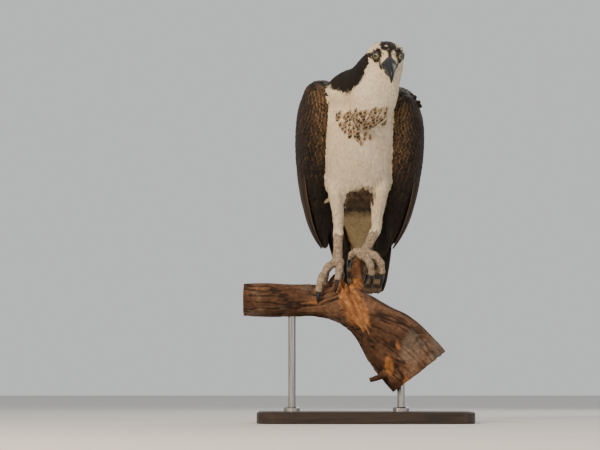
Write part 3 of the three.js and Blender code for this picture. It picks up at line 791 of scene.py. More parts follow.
# ---- an unwrap of the skin's own shape: six box charts for each region
class Unwrap:
    def __init__(self, v, n, lab):
        self.scale = 1.0
        charts = {}
        ax = self.axis(n)
        side = (v[:, 0] > 2).astype(int)
        for reg in range(7):
            for half in (0, 1):
                split = reg in (R_WING, R_THIGH, R_SHANK, R_FOOT)
                if not split and half:
                    continue
                for a in range(6):
                    sel = (lab == reg) & (ax == a) & ((side == half) | (not split))
                    if sel.sum() < 3:
                        continue
                    q = self.flat(v[sel], a)
                    charts[(reg, half if split else 0, a)] = (q.min(0) - 3, q.max(0) + 3)
        items = sorted(charts.items(), key=lambda kv: -(kv[1][1] - kv[1][0])[1])
        size = math.sqrt(sum(np.prod(b - a) for _, (a, b) in items))
        width = size * 1.12
        while True:
            x = y = row = 0.0
            place = {}
            for k, (a, b) in items:
                w, h = b - a
                if x + w > width:
                    x, y, row = 0.0, y + row, 0.0
                place[k] = (np.array([x, y]), a)
                x += w
                row = max(row, h)
            if y + row <= width:
                break
            width *= 1.04
        self.width, self.place = width, place

    @staticmethod
    def axis(n):
        a = np.argmax(np.abs(n), axis=1)
        return a * 2 + (n[np.arange(len(n)), a] > 0)

    @staticmethod
    def flat(v, a):
        k = a // 2
        return v[:, [(k + 1) % 3, (k + 2) % 3]]

    def uv(self, v, n, lab):
        out = np.full((len(v), 2), 0.5)
        ax = self.axis(n)
        side = (v[:, 0] > 2).astype(int)
        for (reg, half, a), (at_, lo) in self.place.items():
            split = reg in (R_WING, R_THIGH, R_SHANK, R_FOOT)
            sel = (lab == reg) & (ax == a) & ((side == half) | (not split))
            if sel.any():
                out[sel] = (at_ + np.maximum(self.flat(v[sel], a) - lo, 0)) / self.width
        return np.clip(out, 0.002, 0.998)


UNWRAP = Unwrap(SKIN_V, SKIN_N, SKIN_LAB)


def skin_uv():
    """Whole faces of the skin share one chart, so nothing is stretched across charts."""
    me = skin.data
    nl = len(me.loops)
    vi = np.empty(nl, np.int32)
    me.loops.foreach_get("vertex_index", vi)
    tot = np.empty(len(me.polygons), np.int32)
    me.polygons.foreach_get("loop_total", tot)
    pid = np.repeat(np.arange(len(tot)), tot)
    fn = np.empty(len(me.polygons) * 3, np.float32)
    me.polygons.foreach_get("normal", fn)
    fn = fn.reshape(-1, 3)
    first = np.concatenate([[0], np.cumsum(tot)[:-1]])
    flab = SKIN_LAB[vi[first]]
    fc = np.empty(len(me.polygons) * 3, np.float32)
    me.polygons.foreach_get("center", fc)
    fc = fc.reshape(-1, 3) / MM
    # every corner uses its face's normal, label and side
    v = SKIN_V[vi]
    ax = Unwrap.axis(fn)[pid]
    half = (fc[:, 0] > 2).astype(int)[pid]
    lab = flab[pid]
    out = np.full((nl, 2), 0.5)
    for (reg, hf, a), (at_, lo) in UNWRAP.place.items():
        split = reg in (R_WING, R_THIGH, R_SHANK, R_FOOT)
        sel = (lab == reg) & (ax == a) & ((half == hf) | (not split))
        if sel.any():
            out[sel] = (at_ + np.maximum(Unwrap.flat(v[sel], a) - lo, 0)) / UNWRAP.width
    set_uv(me, "OFBake", np.clip(out, 0.001, 0.999))


skin_uv()


# =====================================================================
# feathers
# =====================================================================
class Coat:
    """Collects vanes and writes them as joined meshes."""

    def __init__(self, name, material, limit=180000):
        self.name, self.material, self.limit = name, material, limit
        self.chunks = []

    def add(self, P, N, half, cols, root_uv, camber=0.18, thick=0.22, profile=None, across=2, asym=0.0, soft=0.28, blunt=0.0):
        """P, N: (F, K, 3) centre line and normals; half: (F,) half widths in mm;
        cols: (F, K, A, 3) colour at A=across+1 places over the vane."""
        F, K, _ = P.shape
        v = np.linspace(0, 1, K)
        if profile is None:
            profile = np.interp(v, [0, 0.12, 0.45, 0.75, 0.92, 1.0], [0.35, 0.7, 1.0, 0.95, 0.6, 0.12])
        T = np.gradient(P, axis=1)
        T = unit(T)
        B = unit(np.cross(N, T))
        A = across + 1
        us = np.linspace(-1, 1, A)
        w = half[:, None] * profile[None, :]
        top, bot = [], []
        for k, u in enumerate(us):
            off = (u + asym * (1 - u * u)) * w
            drop = -camber * w * (u ** 2)
            th = thick * (1 - u ** 2)
            pull = blunt * w * u ** 2 * (v ** 3)[None, :]
            base = P + B * off[..., None] + N * (drop)[..., None] - T * pull[..., None]
            top.append(base + N * (th if np.isscalar(th) else th) * 0.5)
            if 0 < k < A - 1:
                bot.append(base - N * th * 0.5)
        ring = top + bot[::-1]           # left edge, over the top, right edge, back underneath
        R = len(ring)
        V = np.stack(ring, axis=2)       # F, K, R, 3
        bend = sstep(0.55, 1.0, v)[None, :, None]
        seed_ = np.sin(P[:, :1, :1] * 12.9 + P[:, :1, 2:] * 7.3)
        up = [unit(N + B * ((2 * camber + soft) * u + 0.06 * seed_) + T * (soft * bend)) for u in us]
        G = np.stack(up + up[1:-1][::-1], axis=2)
        C = np.concatenate([cols, cols[:, :, 1:-1][:, :, ::-1]], axis=2) if A > 2 else cols
        U = np.concatenate([us, us[1:-1][::-1]]) * 0.5 + 0.5
        idx = np.arange(K * R).reshape(K, R)
        quads, side = [], []
        for i in range(K - 1):
            for j in range(R):
                side.append(1.0 if j < A - 1 else -1.0)
                jj = (j + 1) % R
                quads.append((idx[i, j], idx[i + 1, j], idx[i + 1, jj], idx[i, jj]))
        quads = np.array(quads)
        caps = []
        for row, flip in ((0, False), (K - 1, True)):
            ring_i = idx[row]
            for j in range(1, R - 1):
                t = (ring_i[0], ring_i[j], ring_i[j + 1])
                caps.append(t[::-1] if flip else t)
        caps = np.array(caps)
        vane = np.stack(np.broadcast_arrays(U[None, :], v[:, None]), axis=-1).reshape(-1, 2)
        self.chunks.append(dict(V=V.reshape(F, -1, 3), G=G.reshape(F, -1, 3), C=C.reshape(F, -1, 3), quads=quads, caps=caps,
                                vane=vane, root=root_uv,
                                side=np.array(side)))

    def write(self):
        made, part = [], 0
        packs, cur, count = [], [], 0
        for c in self.chunks:
            per = len(c["quads"]) * 2 + len(c["caps"])
            start = 0
            total = len(c["V"])
            while start < total:
                room = max((self.limit - count) // per, 0)
                if room == 0:
                    packs.append(cur)
                    cur, count = [], 0
                    continue
                take = min(room, total - start)
                cur.append((c, start, start + take))
                count += take * per
                start += take
        if cur:
            packs.append(cur)
        for cur in packs:
            Vs, Gs, Cs, Qs, Ts, Ss, van, bake, n = [], [], [], [], [], [], [], [], 0
            for c, a, b in cur:
                k = c["V"].shape[1]
                m = b - a
                Vs.append(c["V"][a:b].reshape(-1, 3))
                Gs.append(c["G"][a:b].reshape(-1, 3))
                Cs.append(c["C"][a:b].reshape(-1, 3))
                offs = (n + np.arange(m) * k)[:, None, None]
                Qs.append((c["quads"][None] + offs).reshape(-1, 4))
                Ts.append((c["caps"][None] + offs).reshape(-1, 3))
                Ss.append(np.repeat(np.tile(c["side"], m), 4))
                van.append(np.tile(c["vane"], (m, 1)))
                bake.append((c["root"][a:b][:, None, :] + 0.003 * (c["vane"][None] - 0.5)).reshape(-1, 2))
                n += m * k
            V, Cc = np.concatenate(Vs), np.concatenate(Cs)
            Q, T = np.concatenate(Qs), np.concatenate(Ts)
            van, bake = np.concatenate(van), np.clip(np.concatenate(bake), 0.0005, 0.9995)
            name = self.name if len(packs) == 1 else f"{self.name}_{part + 1}"
            ob, loops = quick_object(name, V, Q, T)
            me = ob.data
            vi = np.empty(len(me.loops), np.int32)
            me.loops.foreach_get("vertex_index", vi)
            set_uv(me, "OFBake", bake[vi])
            set_uv(me, "vane", van[vi])
            set_colour(me, Cc)
            G = np.concatenate(Gs)
            turn = np.concatenate(Ss + [np.ones(len(T) * 3)])
            if len(turn) == len(me.loops):
                # the underside of each vane faces the other way from its top
                me.normals_split_custom_set((G[vi] * turn[:, None]).tolist())
            else:
                me.normals_split_custom_set_from_vertices(G.tolist())
            me.materials.append(self.material)
            made.append(ob)
            part += 1
        return made


def three(mid, edge, tip, K, tipfrom=0.82, edge_from=0.25):
    """Colours over a small vane: (F, K, 3 across, 3)."""
    v = np.linspace(0, 1, K)
    e = sstep(edge_from, edge_from + 0.35, v)[None, :, None]
    t = sstep(tipfrom - 0.08, tipfrom + 0.12, v)[None, :, None]
    root = lerp(np.array([0.80, 0.77, 0.73]), np.ones(3), sstep(0.35, 0.75, v)[:, None])[None]
    m = lerp(mid[:, None, :] * root, tip[:, None, :], t)
    s = lerp(mid[:, None, :] * root, edge[:, None, :], e)
    s = lerp(s, tip[:, None, :], t)
    return np.stack([s, m, s], axis=2)


def five(c):
    """Three colours across a vane spread to five."""
    a, b, d = c[:, :, 0], c[:, :, 1], c[:, :, 2]
    return np.stack([a, 0.5 * (a + b), b, 0.5 * (b + d), d], axis=2)


def sample_skin(regions, spacing, seed, keep=None, oversample=5.0):
    """Evenly spread roots on the skin; spacing(p, lab) gives the local distance in mm."""
    g = np.random.default_rng(seed)
    tl = SKIN_LAB[TRI[:, 0]]
    sel = np.where(np.isin(tl, regions))[0]
    a, b, c = (SKIN_V[TRI[sel, k]] for k in range(3))
    area = 0.5 * np.linalg.norm(np.cross(b - a, c - a), axis=1)
    cen = (a + b + c) / 3
    sp = spacing(cen, tl[sel])
    lam = area / (sp ** 2) * oversample
    cnt = np.floor(lam + g.random(len(lam))).astype(int)
    k = np.repeat(np.arange(len(sel)), cnt)
    r1, r2 = np.sqrt(g.random(len(k))), g.random(len(k))
    w = np.stack([1 - r1, r1 * (1 - r2), r1 * r2], axis=1)
    p = w[:, :1] * a[k] + w[:, 1:2] * b[k] + w[:, 2:] * c[k]
    nv = SKIN_N[TRI[sel[k]]]
    n = unit((w[:, :, None] * nv).sum(1))
    lab = tl[sel[k]]
    if keep is not None:
        ok = keep(p, n, lab)
        p, n, lab = p[ok], n[ok], lab[ok]
    s = spacing(p, lab)
    order = g.permutation(len(p))
    p, n, lab, s = p[order], n[order], lab[order], s[order]
    kd = KDTree(len(p))
    for i, q in enumerate(p):
        kd.insert(q, i)
    kd.balance()
    dead = np.zeros(len(p), bool)
    keepi = []
    for i in range(len(p)):
        if dead[i]:
            continue
        keepi.append(i)
        for _, j, _ in kd.find_range(p[i], s[i] * 0.86):
            dead[j] = True
    k = np.array(keepi)
    return p[k], n[k], lab[k]


def march(p, n, flow, length, K, lift0=0.0, lift1=1.6, sink=0.5):
    """Centre lines that follow the skin from each root: (F, K, 3) points and normals."""
    F = len(p)
    P, N = np.empty((F, K, 3)), np.empty((F, K, 3))
    cur, nor = p.copy(), n.copy()
    d = unit(flow - nor * np.sum(flow * nor, axis=1, keepdims=True))
    step = (length / (K - 1))[:, None]
    P[:, 0], N[:, 0] = cur, nor
    for k in range(1, K):
        nxt = cur + d * step
        q, m = np.empty_like(nxt), np.empty_like(nxt)
        for i in range(F):
            hit = BVH.find_nearest(nxt[i])
            q[i] = hit[0]
            m[i] = hit[1]
        m = unit(0.45 * m + 0.55 * nor)
        # a feather is stiff: it may bridge a hollow but not dive into it
        dn = np.sum((q - nxt) * m, axis=1, keepdims=True)
        q = nxt + m * np.clip(dn, -0.9 * step, 0.6 * step)
        nd = unit(q - cur)
        d = unit(nd - m * np.sum(nd * m, axis=1, keepdims=True))
        cur, nor = q, m
        P[:, k], N[:, k] = cur, nor
    t = np.linspace(0, 1, K)[None, :, None]
    l0 = np.broadcast_to(np.asarray(lift0, float).reshape(-1, 1, 1), (F, 1, 1))
    l1 = np.broadcast_to(np.asarray(lift1, float).reshape(-1, 1, 1), (F, 1, 1))
    P = P + N * (l0 + (l1 - l0) * t ** 0.8 - sink * (1 - t) ** 2)
    return P, N


def body_flow(p, n, lab):
    """Lie of the plumage."""
    down = np.array([0.02, 0.42, -0.9])
    tailward = np.array([0.03, 0.64, -0.77])
    f = np.tile(tailward, (len(p), 1))
    front = sstep(0.1, -0.5, n[:, 1])[:, None]
    f = lerp(f, down, front)
    # neck: from the head down to the shoulders and breast
    nk = np.array([-0.34, 0.55, -0.62])
    throat = np.array([-0.12, 0.30, -0.95])
    wfront = sstep(0.0, -0.5, n[:, 1])[:, None]
    nf = lerp(nk, throat, wfront)
    f = np.where((lab == R_NECK)[:, None], nf, f)
    # head: back from the bill
    l, fo, u = head_local(p)
    tip = head_point(0, 30, -8)
    rad = unit(p - tip)
    bk = HEAD_R @ np.array([0, 1.0, -0.05])
    hf = unit(0.75 * rad + 0.55 * bk)
    f = np.where((lab == R_HEAD)[:, None], hf, f)
    th = np.stack([np.zeros(len(p)), 0.12 + 0 * p[:, 0], -1 + 0 * p[:, 0]], axis=1)
    f = np.where(np.isin(lab, (R_THIGH, R_SHANK))[:, None], th, f)
    return unit(f)


# ---------------------------------------------------------- which roots to use
EYES = {s: head_point(s * EYE_SIDE, -1, 0.6) for s in (-1, 1)}


def keep_head(p, n, lab):
    l, f, u = head_local(p)
    ok = ~((lab == R_HEAD) & (f > 14.5) & (np.abs(l) < 12.5) & (u < 5.5))
    for s in (-1, 1):
        d = p - EYES[s]
        r = np.linalg.norm(d, axis=1)
        ang = np.degrees(np.arccos(np.clip((d @ gaze(s)) / np.maximum(r, 1e-6), -1, 1)))
        ok &= ~((r < 13) & (ang < 62))
    return ok


def head_spacing(p, lab):
    l, f, u = head_local(p)
    return np.interp(f, [-45, -20, 5, 22], [3.0, 2.5, 1.7, 1.25]) * 1.0


def body_spacing(p, lab):
    s = np.where(lab == R_NECK, 3.5, 5.0)
    s = np.where(lab == R_THIGH, 3.3, s)
    s = np.where((lab == R_NECK) & (p[:, 2] > 515), 3.1, s)
    s = np.where((lab == R_TRUNK) & (p[:, 2] < 360), 5.6, s)
    return s * 1.0


def jitter_dir(flow, n, amount, g):
    side = unit(np.cross(n, flow))
    return unit(flow + side * g.normal(0, amount, len(n))[:, None])


def small_coat(name, regions, spacing, seed, keep, len_k, width_k, lift, K=6, white=MAT_WHITE, quiet=0.12):
    g = np.random.default_rng(seed)
    p, n, lab = sample_skin(regions, spacing, seed, keep)
    s = spacing(p, lab) / 1.0
    flow = jitter_dir(body_flow(p, n, lab), n, 0.10, g)
    length = s * len_k * g.uniform(0.82, 1.22, len(p))
    half = s * width_k * g.uniform(0.85, 1.15, len(p))
    loose = np.where((lab == R_THIGH) & (g.random(len(p)) < 0.10), 2.6, 1.0)
    P, N = march(p, n, flow, length, K, 0.2, lift * g.uniform(0.3, 1.6, len(p)) * loose + 0.5 * (loose - 1))
    col, dark = marking(P[:, -2], lab)
    d = dark[:, None]
    tint = g.uniform(0.9, 1.08, (len(p), 1))
    mid = col * tint * 0.97
    edge_pale = g.uniform(0, 1, (len(p), 1)) ** 2
    edge = lerp(mid * 1.08, lerp(mid, EDGE, 0.35 + 0.4 * edge_pale), d * np.where(np.isin(lab, (R_NECK, R_HEAD)), quiet, 0.6)[:, None])
    tip = lerp(mid * 1.10, edge, 0.6)
    return dict(p=p, n=n, lab=lab, P=P, N=N, half=half, mid=mid, edge=edge, tip=tip, dark=dark, g=g, K=K)


# --- head
coat_head = Coat("coat_head", MAT_WHITE)
h = small_coat("head", (R_HEAD,), head_spacing, 101, keep_head, 3.0, 0.74, 0.3)
coat_head.add(h["P"], h["N"], h["half"], five(three(h["mid"], h["edge"], h["tip"], h["K"])),
              UNWRAP.uv(h["p"], h["n"], h["lab"]), thick=0.12, camber=0.08, across=4, blunt=0.8)

# --- neck, breast, belly, back, thighs
coat_body = Coat("coat_body", MAT_WHITE)
b = small_coat("body", (R_TRUNK, R_NECK, R_THIGH), body_spacing, 202, None, 3.4, 0.92, 0.25)
p = b["p"]
g = b["g"]
coat_body.add(b["P"], b["N"], b["half"], five(three(b["mid"], b["edge"], b["tip"], b["K"])),
              UNWRAP.uv(p, b["n"], b["lab"]), thick=0.14, camber=0.06, across=4, blunt=0.8)

# --- necklace: drop-shaped brown streaks in a shallow bib across the upper breast
bib = Coat("coat_necklace", MAT_WHITE)


def bib_zone(q):
    X, Y, Z = q.T
    Z = Z - 11
    top = 464 + 0.004 * (X - 6) ** 2
    low = 425 + 0.80 * np.abs(X - 3) ** 1.05
    return sstep(low - 4, low + 4, Z) * sstep(top + 6, top - 4, Z) * sstep(38, 31, np.abs(X - 5))


def keep_bib(q, n, lab):
    return (n[:, 1] < -0.15) & (bib_zone(q) > 0.12)


g = np.random.default_rng(77)
p, n, lab = sample_skin((R_TRUNK, R_NECK), lambda q, lab: np.full(len(q), 4.9), 78, keep_bib)
flow = unit(body_flow(p, n, lab) + np.array([-0.24, 0, 0]))
P, N = march(p, n, jitter_dir(flow, n, 0.16, g), g.uniform(12, 16, len(p)), 9, 0.7, 1.5)
k = np.linspace(0, 1, 9)
us = np.linspace(-1, 1, 5)
wdt = g.uniform(3.2, 4.1, len(p))
ground, _ = marking(p, lab)
ground = ground * g.uniform(0.90, 1.0, (len(p), 1))
ink = lerp(np.array([0.070, 0.034, 0.016]), np.array([0.018, 0.011, 0.007]), g.random((len(p), 1)))
size = g.uniform(0.55, 1.15, len(p)) ** 0.8
drop = (np.interp(k, [0.30, 0.5, 0.80, 0.98], [-0.1, 0.55, 1.0, 0.15])[None, :, None] * size[:, None, None]
        - np.abs(us)[None, None, :] * 1.2)
mark = sstep(-0.06, 0.16, drop)[..., None]
warm = lerp(ground, np.array([0.42, 0.25, 0.115]), g.uniform(0.35, 0.8, (len(p), 1)))
wash = lerp(ground[:, None, None, :], warm[:, None, None, :], sstep(0.25, 0.6, k)[None, :, None, None]) * np.ones((1, 1, 5, 1))
cols = lerp(wash, ink[:, None, None, :], mark)
bib.add(P, N, wdt, cols, UNWRAP.uv(p, n, lab), thick=0.12, camber=0.10, across=4)


# --- folded wings: coverts in rows on the wing's own surface
def wing_rows(s, coat, seed):
    g = np.random.default_rng(seed)
    W = WING[s]
    total = W.total
    rows = []
    x = 1.5
    while x < total * 0.78:
        t = x / total
        L = np.interp(t, [0, 0.08, 0.2, 0.4, 0.62, 0.8], [8, 11, 16, 26, 42, 54])
        rows.append((x, L))
        x += L * 0.36
    P_all, N_all, H_all, M_all, E_all, T_all, R_all = [], [], [], [], [], [], []
    K = 7
    for ri, (x0, L) in enumerate(rows):
        width = np.interp(L, [8, 11, 26, 54], [6.5, 8, 12.5, 17])
        qs = np.linspace(math.radians(20), math.radians(340), 90)
        ring = W.at(np.full(90, x0), qs)
        seg = np.concatenate([[0], np.cumsum(np.linalg.norm(np.diff(ring, axis=0), axis=1))])
        n = max(int(seg[-1] / (width * 0.62)), 3)
        at_ = (np.arange(n) + 0.5 * (ri % 2) + 0.25) / n * seg[-1]
        q0 = np.interp(at_, seg, qs)
        # the right wing's outside is at 180 degrees, the left wing's at 0
        q0 = q0 if s < 0 else math.pi - q0
        q0 = q0 + g.normal(0, 0.02, n)
        LL = L * g.uniform(0.85, 1.15, n)
        x1 = x0 + g.normal(0, L * 0.05, n)
        k = np.linspace(0, 1, K)
        S = np.clip(x1[:, None] + LL[:, None] * k[None], 0, total - 2)
        Q = q0[:, None] + 0 * S
        pts = W.at(S.ravel(), Q.ravel()).reshape(n, K, 3)
        nor = W.normal(S.ravel(), Q.ravel()).reshape(n, K, 3)
        nor = unit(0.5 * nor + 0.5 * nor[:, :1])
        lift = (-2.4 + 2.5 * k ** 0.8)[None, :, None] * g.uniform(0.85, 1.2, (n, 1, 1))
        pts = pts + nor * lift
        # leave out roots buried in the trunk
        root = pts[:, K // 2]
        keep = np.array([BVH.find_nearest(r)[3] < 9 for r in root])
        P_all.append(pts[keep])
        N_all.append(nor[keep])
        H_all.append(np.full(keep.sum(), width * 0.5) * g.uniform(0.9, 1.15, keep.sum()))
        rp = pts[keep][:, 0]
        t = x0 / total
        m = lerp(BROWN * 0.8, DARK * 0.75, g.random((keep.sum(), 1)) * 0.9)
        pale = g.random((keep.sum(), 1)) ** 1.3
        # tan mottling near the inner front of each wrist
        front = sstep(-0.1, -0.6, nor[keep][:, 0, 1])[:, None] * sstep(0.42, 0.08, t)
        inner = sstep(80, 62, np.abs(rp[:, :1] - 3)) * front
        m = lerp(m, TAN * 0.55, 0.75 * inner * g.random((keep.sum(), 1)))
        e = lerp(EDGE * 0.3, EDGE * 1.05, pale) * (1 - 0.68 * float(sstep(0.2, 0.55, t)))
        e = lerp(e, TAN * 1.6, inner * 0.85)
        M_all.append(m)
        E_all.append(lerp(m, e, 0.85))
        T_all.append(lerp(m, e, np.clip(0.55 + 0.4 * pale, 0, 1)))
        R_all.append(rp)
    P, N = np.concatenate(P_all), np.concatenate(N_all)
    H, R = np.concatenate(H_all), np.concatenate(R_all)
    M, E, T = np.concatenate(M_all), np.concatenate(E_all), np.concatenate(T_all)
    # long vanes: edge colour is a thin line, so five places over the vane
    K = P.shape[1]
    v = np.linspace(0, 1, K)
    c = three(M, E, T, K, tipfrom=0.93, edge_from=0.2)
    inner5 = lerp(c[:, :, 1], M[:, None], 0.9)
    cols = np.stack([c[:, :, 0], inner5, M[:, None] * np.ones((1, K, 1)) * 0.8, inner5, c[:, :, 2]], axis=2)
    uv = UNWRAP.uv(R, N[:, 0], np.full(len(R), R_WING))
    prof = np.interp(v, [0, 0.15, 0.5, 0.8, 0.93, 1.0], [0.4, 0.75, 1.0, 0.96, 0.68, 0.15])
    coat.add(P, N, H, cols, uv, camber=0.16, thick=0.28, profile=prof, across=4)


def wrist_cap(s, coat, seed):
    top = 497 if s < 0 else 482
    h = small_coat("wrist", (R_WING,), lambda q, lab: np.full(len(q), 4.6), seed,
                   lambda q, n, lab: (q[:, 2] > top + (noise(q, 11, 5) - 0.5) * 26) & (q[:, 0] * s > 0), 3.0, 0.85, 0.5)
    g = h["g"]
    m = lerp(BROWN, DARK * 0.9, g.random((len(h["p"]), 1)))
    e = lerp(m, EDGE, 0.15 + 0.75 * g.random((len(h["p"]), 1)) ** 2)
    coat.add(h["P"], h["N"], h["half"], three(m, e, e, h["K"], tipfrom=0.9), UNWRAP.uv(h["p"], h["n"], h["lab"]),
             thick=0.12, camber=0.12)


coat_wing = {}
for s, nm in ((-1, "right"), (1, "left")):
    coat_wing[s] = Coat("coat_wing_" + nm, MAT_BROWN)
    wing_rows(s, coat_wing[s], 300 + s)
    wrist_cap(s, coat_wing[s], 350 + s)


# --- flight feathers, and other vanes set one by one
def long_vanes(coat, roots, mids, tips, normals, half, mid_col, edge_col, seed, K=16, across=6, bars=None,
               thick=0.5, camber=0.1, region=R_WING, tipround=0.9):
    g = np.random.default_rng(seed)
    F = len(roots)
    t = np.linspace(0, 1, K)[None, :, None]
    a, m, b = roots[:, None], mids[:, None], tips[:, None]
    c = 2 * m - 0.5 * (a + b)
    P = (1 - t) ** 2 * a + 2 * t * (1 - t) * c + t ** 2 * b
    N = np.repeat(normals[:, None], K, axis=1)
    T = unit(np.gradient(P, axis=1))
    N = unit(N - T * np.sum(N * T, axis=2, keepdims=True))
    v = np.linspace(0, 1, K)
    prof = np.interp(v, [0, 0.1, 0.4, 0.8, 0.92, 0.975, 1.0], [0.3, 0.6, 0.92, 1.0, tipround, 0.55, 0.12])
    A = across + 1
    us = np.linspace(-1, 1, A)
    cols = np.empty((F, K, A, 3))
    edge = sstep(0.72, 1.0, np.abs(us))[None, None, :, None]
    tipw = sstep(0.955, 1.0, v)[None, :, None, None]
    base = mid_col[:, None, None, :] * g.uniform(0.85, 1.15, (F, 1, 1, 1))
    cols[:] = lerp(base, edge_col[:, None, None, :], np.maximum(edge * 0.8, tipw * 0.9))
    shaft = sstep(0.2, 0.0, np.abs(us))[None, None, :, None]
    cols = lerp(cols, cols * 0.6, shaft)
    if bars is not None:
        pale, count, where = bars
        ph = v[None, :, None] * count + 0.12 * np.abs(us)[None, None, :] + g.uniform(-0.03, 0.03, (F, 1, 1))
        bar = sstep(0.1, 0.45, np.sin(ph * 2 * np.pi)) * where(v)[None, :, None]
        cols = lerp(cols, pale, bar[..., None])
    uv = UNWRAP.uv(roots, normals, np.full(F, region))
    coat.add(P, N, half, cols, uv, camber=camber, thick=thick, profile=prof, across=across)


def folded_flight(s, coat, seed):
    g = np.random.default_rng(seed)
    W = WING[s]
    total = W.total
    # secondaries and tertials: lie along the outside and back of the wing, tips staggered
    n = 13
    R, M, T, N = [], [], [], []
    for i in range(n):
        f = i / (n - 1)
        q = math.radians(lerp(118, 292, f))
        q = q if s < 0 else math.pi - q
        s0, s1 = total * lerp(0.44, 0.38, f), total * lerp(0.955, 0.88, f ** 1.3)
        ss = np.array([s0, 0.5 * (s0 + s1), s1])
        pts = W.at(ss, np.full(3, q))
        nn = W.normal(ss, np.full(3, q))
        off = 1.2 + 0.5 * f
        R.append(pts[0] + nn[0] * -1.0)
        M.append(pts[1] + nn[1] * (off + 1.4))
        T.append(pts[2] + nn[2] * (off + 0.4))
        N.append(nn[1])
    R, M, T, N = map(np.array, (R, M, T, N))
    mid = np.tile(BROWN, (n, 1)) * g.uniform(0.8, 1.25, (n, 1))
    edge = np.tile(EDGE * 0.8, (n, 1)) * g.uniform(0.6, 1.4, (n, 1))
    long_vanes(coat, R, M, T, N, np.full(n, 11.5), mid, edge, seed, K=14)
    # primaries: long, stepped back one behind the other, crossing over the tail
    n = 7
    R, M, T = [], [], []
    for i in range(n):
        f = i / (n - 1)
        if s > 0:
            tip = [37 - 9 * f, WING_TIP[1] - 3 - 62 * f, WING_TIP[2] + 6 + 56 * f]
            root = [50 - 10 * f, 84 + 4 * f, 338 + 12 * f]
        else:
            tip = [-4 - 7 * f, WING_TIP[1] - 1 - 62 * f, WING_TIP[2] + 8 + 54 * f]
            root = [-51 + 9 * f, 84 + 4 * f, 338 + 12 * f]
        R.append(root)
        T.append(tip)
        mid_ = 0.5 * (np.array(root) + np.array(tip)) + np.array([s * 3.0, 0.6 * i - 2, -5 + 0.8 * i])
        M.append(mid_)
    R, M, T = map(lambda a: np.array(a, float), (R, M, T))
    N = np.tile(unit(np.array([0.35 * s, 0.70, 0.62])), (n, 1))
    mid = np.tile(DARK * 1.15, (n, 1)) * g.uniform(0.85, 1.2, (n, 1))
    edge = np.tile(EDGE * 0.35, (n, 1))
    long_vanes(coat, R, M, T, N, np.full(n, 10.5), mid, edge, seed + 5, K=16)
    # inner feathers of the folded wing, close against the rump
    n = 5
    f = np.linspace(0, 1, n)[:, None]
    R = lerp(np.array([[3 + s * 44.0, 60, 362]]), np.array([[3 + s * 26.0, 92, 352]]), f)
    T = lerp(np.array([[8 + s * 32.0, 150, 268]]), np.array([[8 + s * 17.0, 190, 246]]), f)
    M = 0.5 * (R + T) + np.array([[s * 1.0, -1, -3]])
    long_vanes(coat, R, M, T, np.tile(unit(np.array([0.15 * s, 0.7, 0.68])), (n, 1)), np.full(n, 11.0),
               np.tile(DARK * 1.3, (n, 1)), np.tile(EDGE * 0.3, (n, 1)), seed + 9, K=12)


g = np.random.default_rng(31)
n = 9
R = np.array([71.5, -18, 500]) + g.normal(0, 1, (n, 3)) * [2.0, 5, 2.0] + np.linspace(0, 1, n)[:, None] * [11, 0, -13]
D = unit(np.array([0.86, -0.05, 0.30]) + g.normal(0, 0.16, (n, 3)))
T = R + D * g.uniform(13, 18, (n, 1))
long_vanes(coat_wing[1], R, 0.5 * (R + T) + np.array([0, 0, 1.6]), T, unit(0.5 * unit(np.cross(D, [0, 1.0, 0.1])) + np.array([0, -0.9, 0])),
           g.uniform(3.2, 4.6, n), np.tile(DARK * 1.2, (n, 1)), np.tile(EDGE * 0.4, (n, 1)), 32, K=7, across=2)

flight = {}
for s, nm in ((-1, "right"), (1, "left")):
    flight[s] = Coat("flight_" + nm, MAT_BROWN)
    folded_flight(s, flight[s], 400 + s)

# --- tail: twelve feathers in a closed fan, barred, with painted shade: ground and bars kept dark for the shaded underside
tail = Coat("tail_feathers", MAT_BROWN)
n = 12
R, M, T, N = [], [], [], []
for i in range(n):
    t = (i / (n - 1)) * 2 - 1
    lift = 3.4 * (1 - t * t) - 0.35 * abs(t) * i % 2
    tip = np.array([TAIL_TIP[0] + t * (TAIL_HALF_WIDTH - 9), TAIL_TIP[1] - 5 * t * t, TAIL_TIP[2] + lift + 5 * t * t])
    root = np.array([TAIL_BASE[0] + t * 11, TAIL_BASE[1] - 8, TAIL_BASE[2] + 8 + 0.5 * lift])
    R.append(root)
    T.append(tip)
    M.append(0.5 * (root + tip) + np.array([t * 2, 0.6 * lift, -3 + 0.6 * lift]))
    N.append(unit(np.array([0.18 * t, 0.68, 0.72])))
R, M, T, N = map(np.array, (R, M, T, N))
# painted shade: a near-black ground and dimmed pale bars stand in for the shade on the tail's underside
mid = np.tile(np.array([0.042, 0.027, 0.017]), (n, 1))
edge = np.tile(np.array([0.13, 0.085, 0.05]), (n, 1))
long_vanes(tail, R, M, T, N, np.full(n, 9.6), mid, edge, 500, K=34,
           bars=(np.array([0.24, 0.165, 0.095]), 7.5, lambda v: sstep(1.0, 0.9, v) * sstep(0.05, 0.15, v)),
           region=R_TRUNK, tipround=0.86)

coats = []
for c in (coat_head, coat_body, bib, coat_wing[-1], coat_wing[1], flight[-1], flight[1], tail):
    coats += c.write()


# =====================================================================
# bill, eyes, lids, talons
# =====================================================================
def bill_upper():
    L, d = BILL_LENGTH, HOOK_DROP
    return head_loft([
        [13, -4.6, 12.4, 10.4], [19, -4.3, 11.6, 10.0], [25, -4.7, 10.4, 9.2], [17 + 0.45 * L, -5.1, 8.4, 8.3],
        [17 + 0.72 * L, -6.3, 6.1, 6.9], [17 + 0.93 * L, -9.6, 4.2, 5.5],
        [17 + 1.03 * L, -14.4, 2.7, 3.6], [17 + 1.05 * L, -0.88 * d, 1.5, 1.9],
        [17 + 1.02 * L, -1.04 * d, 0.4, 0.5]], 2.2)


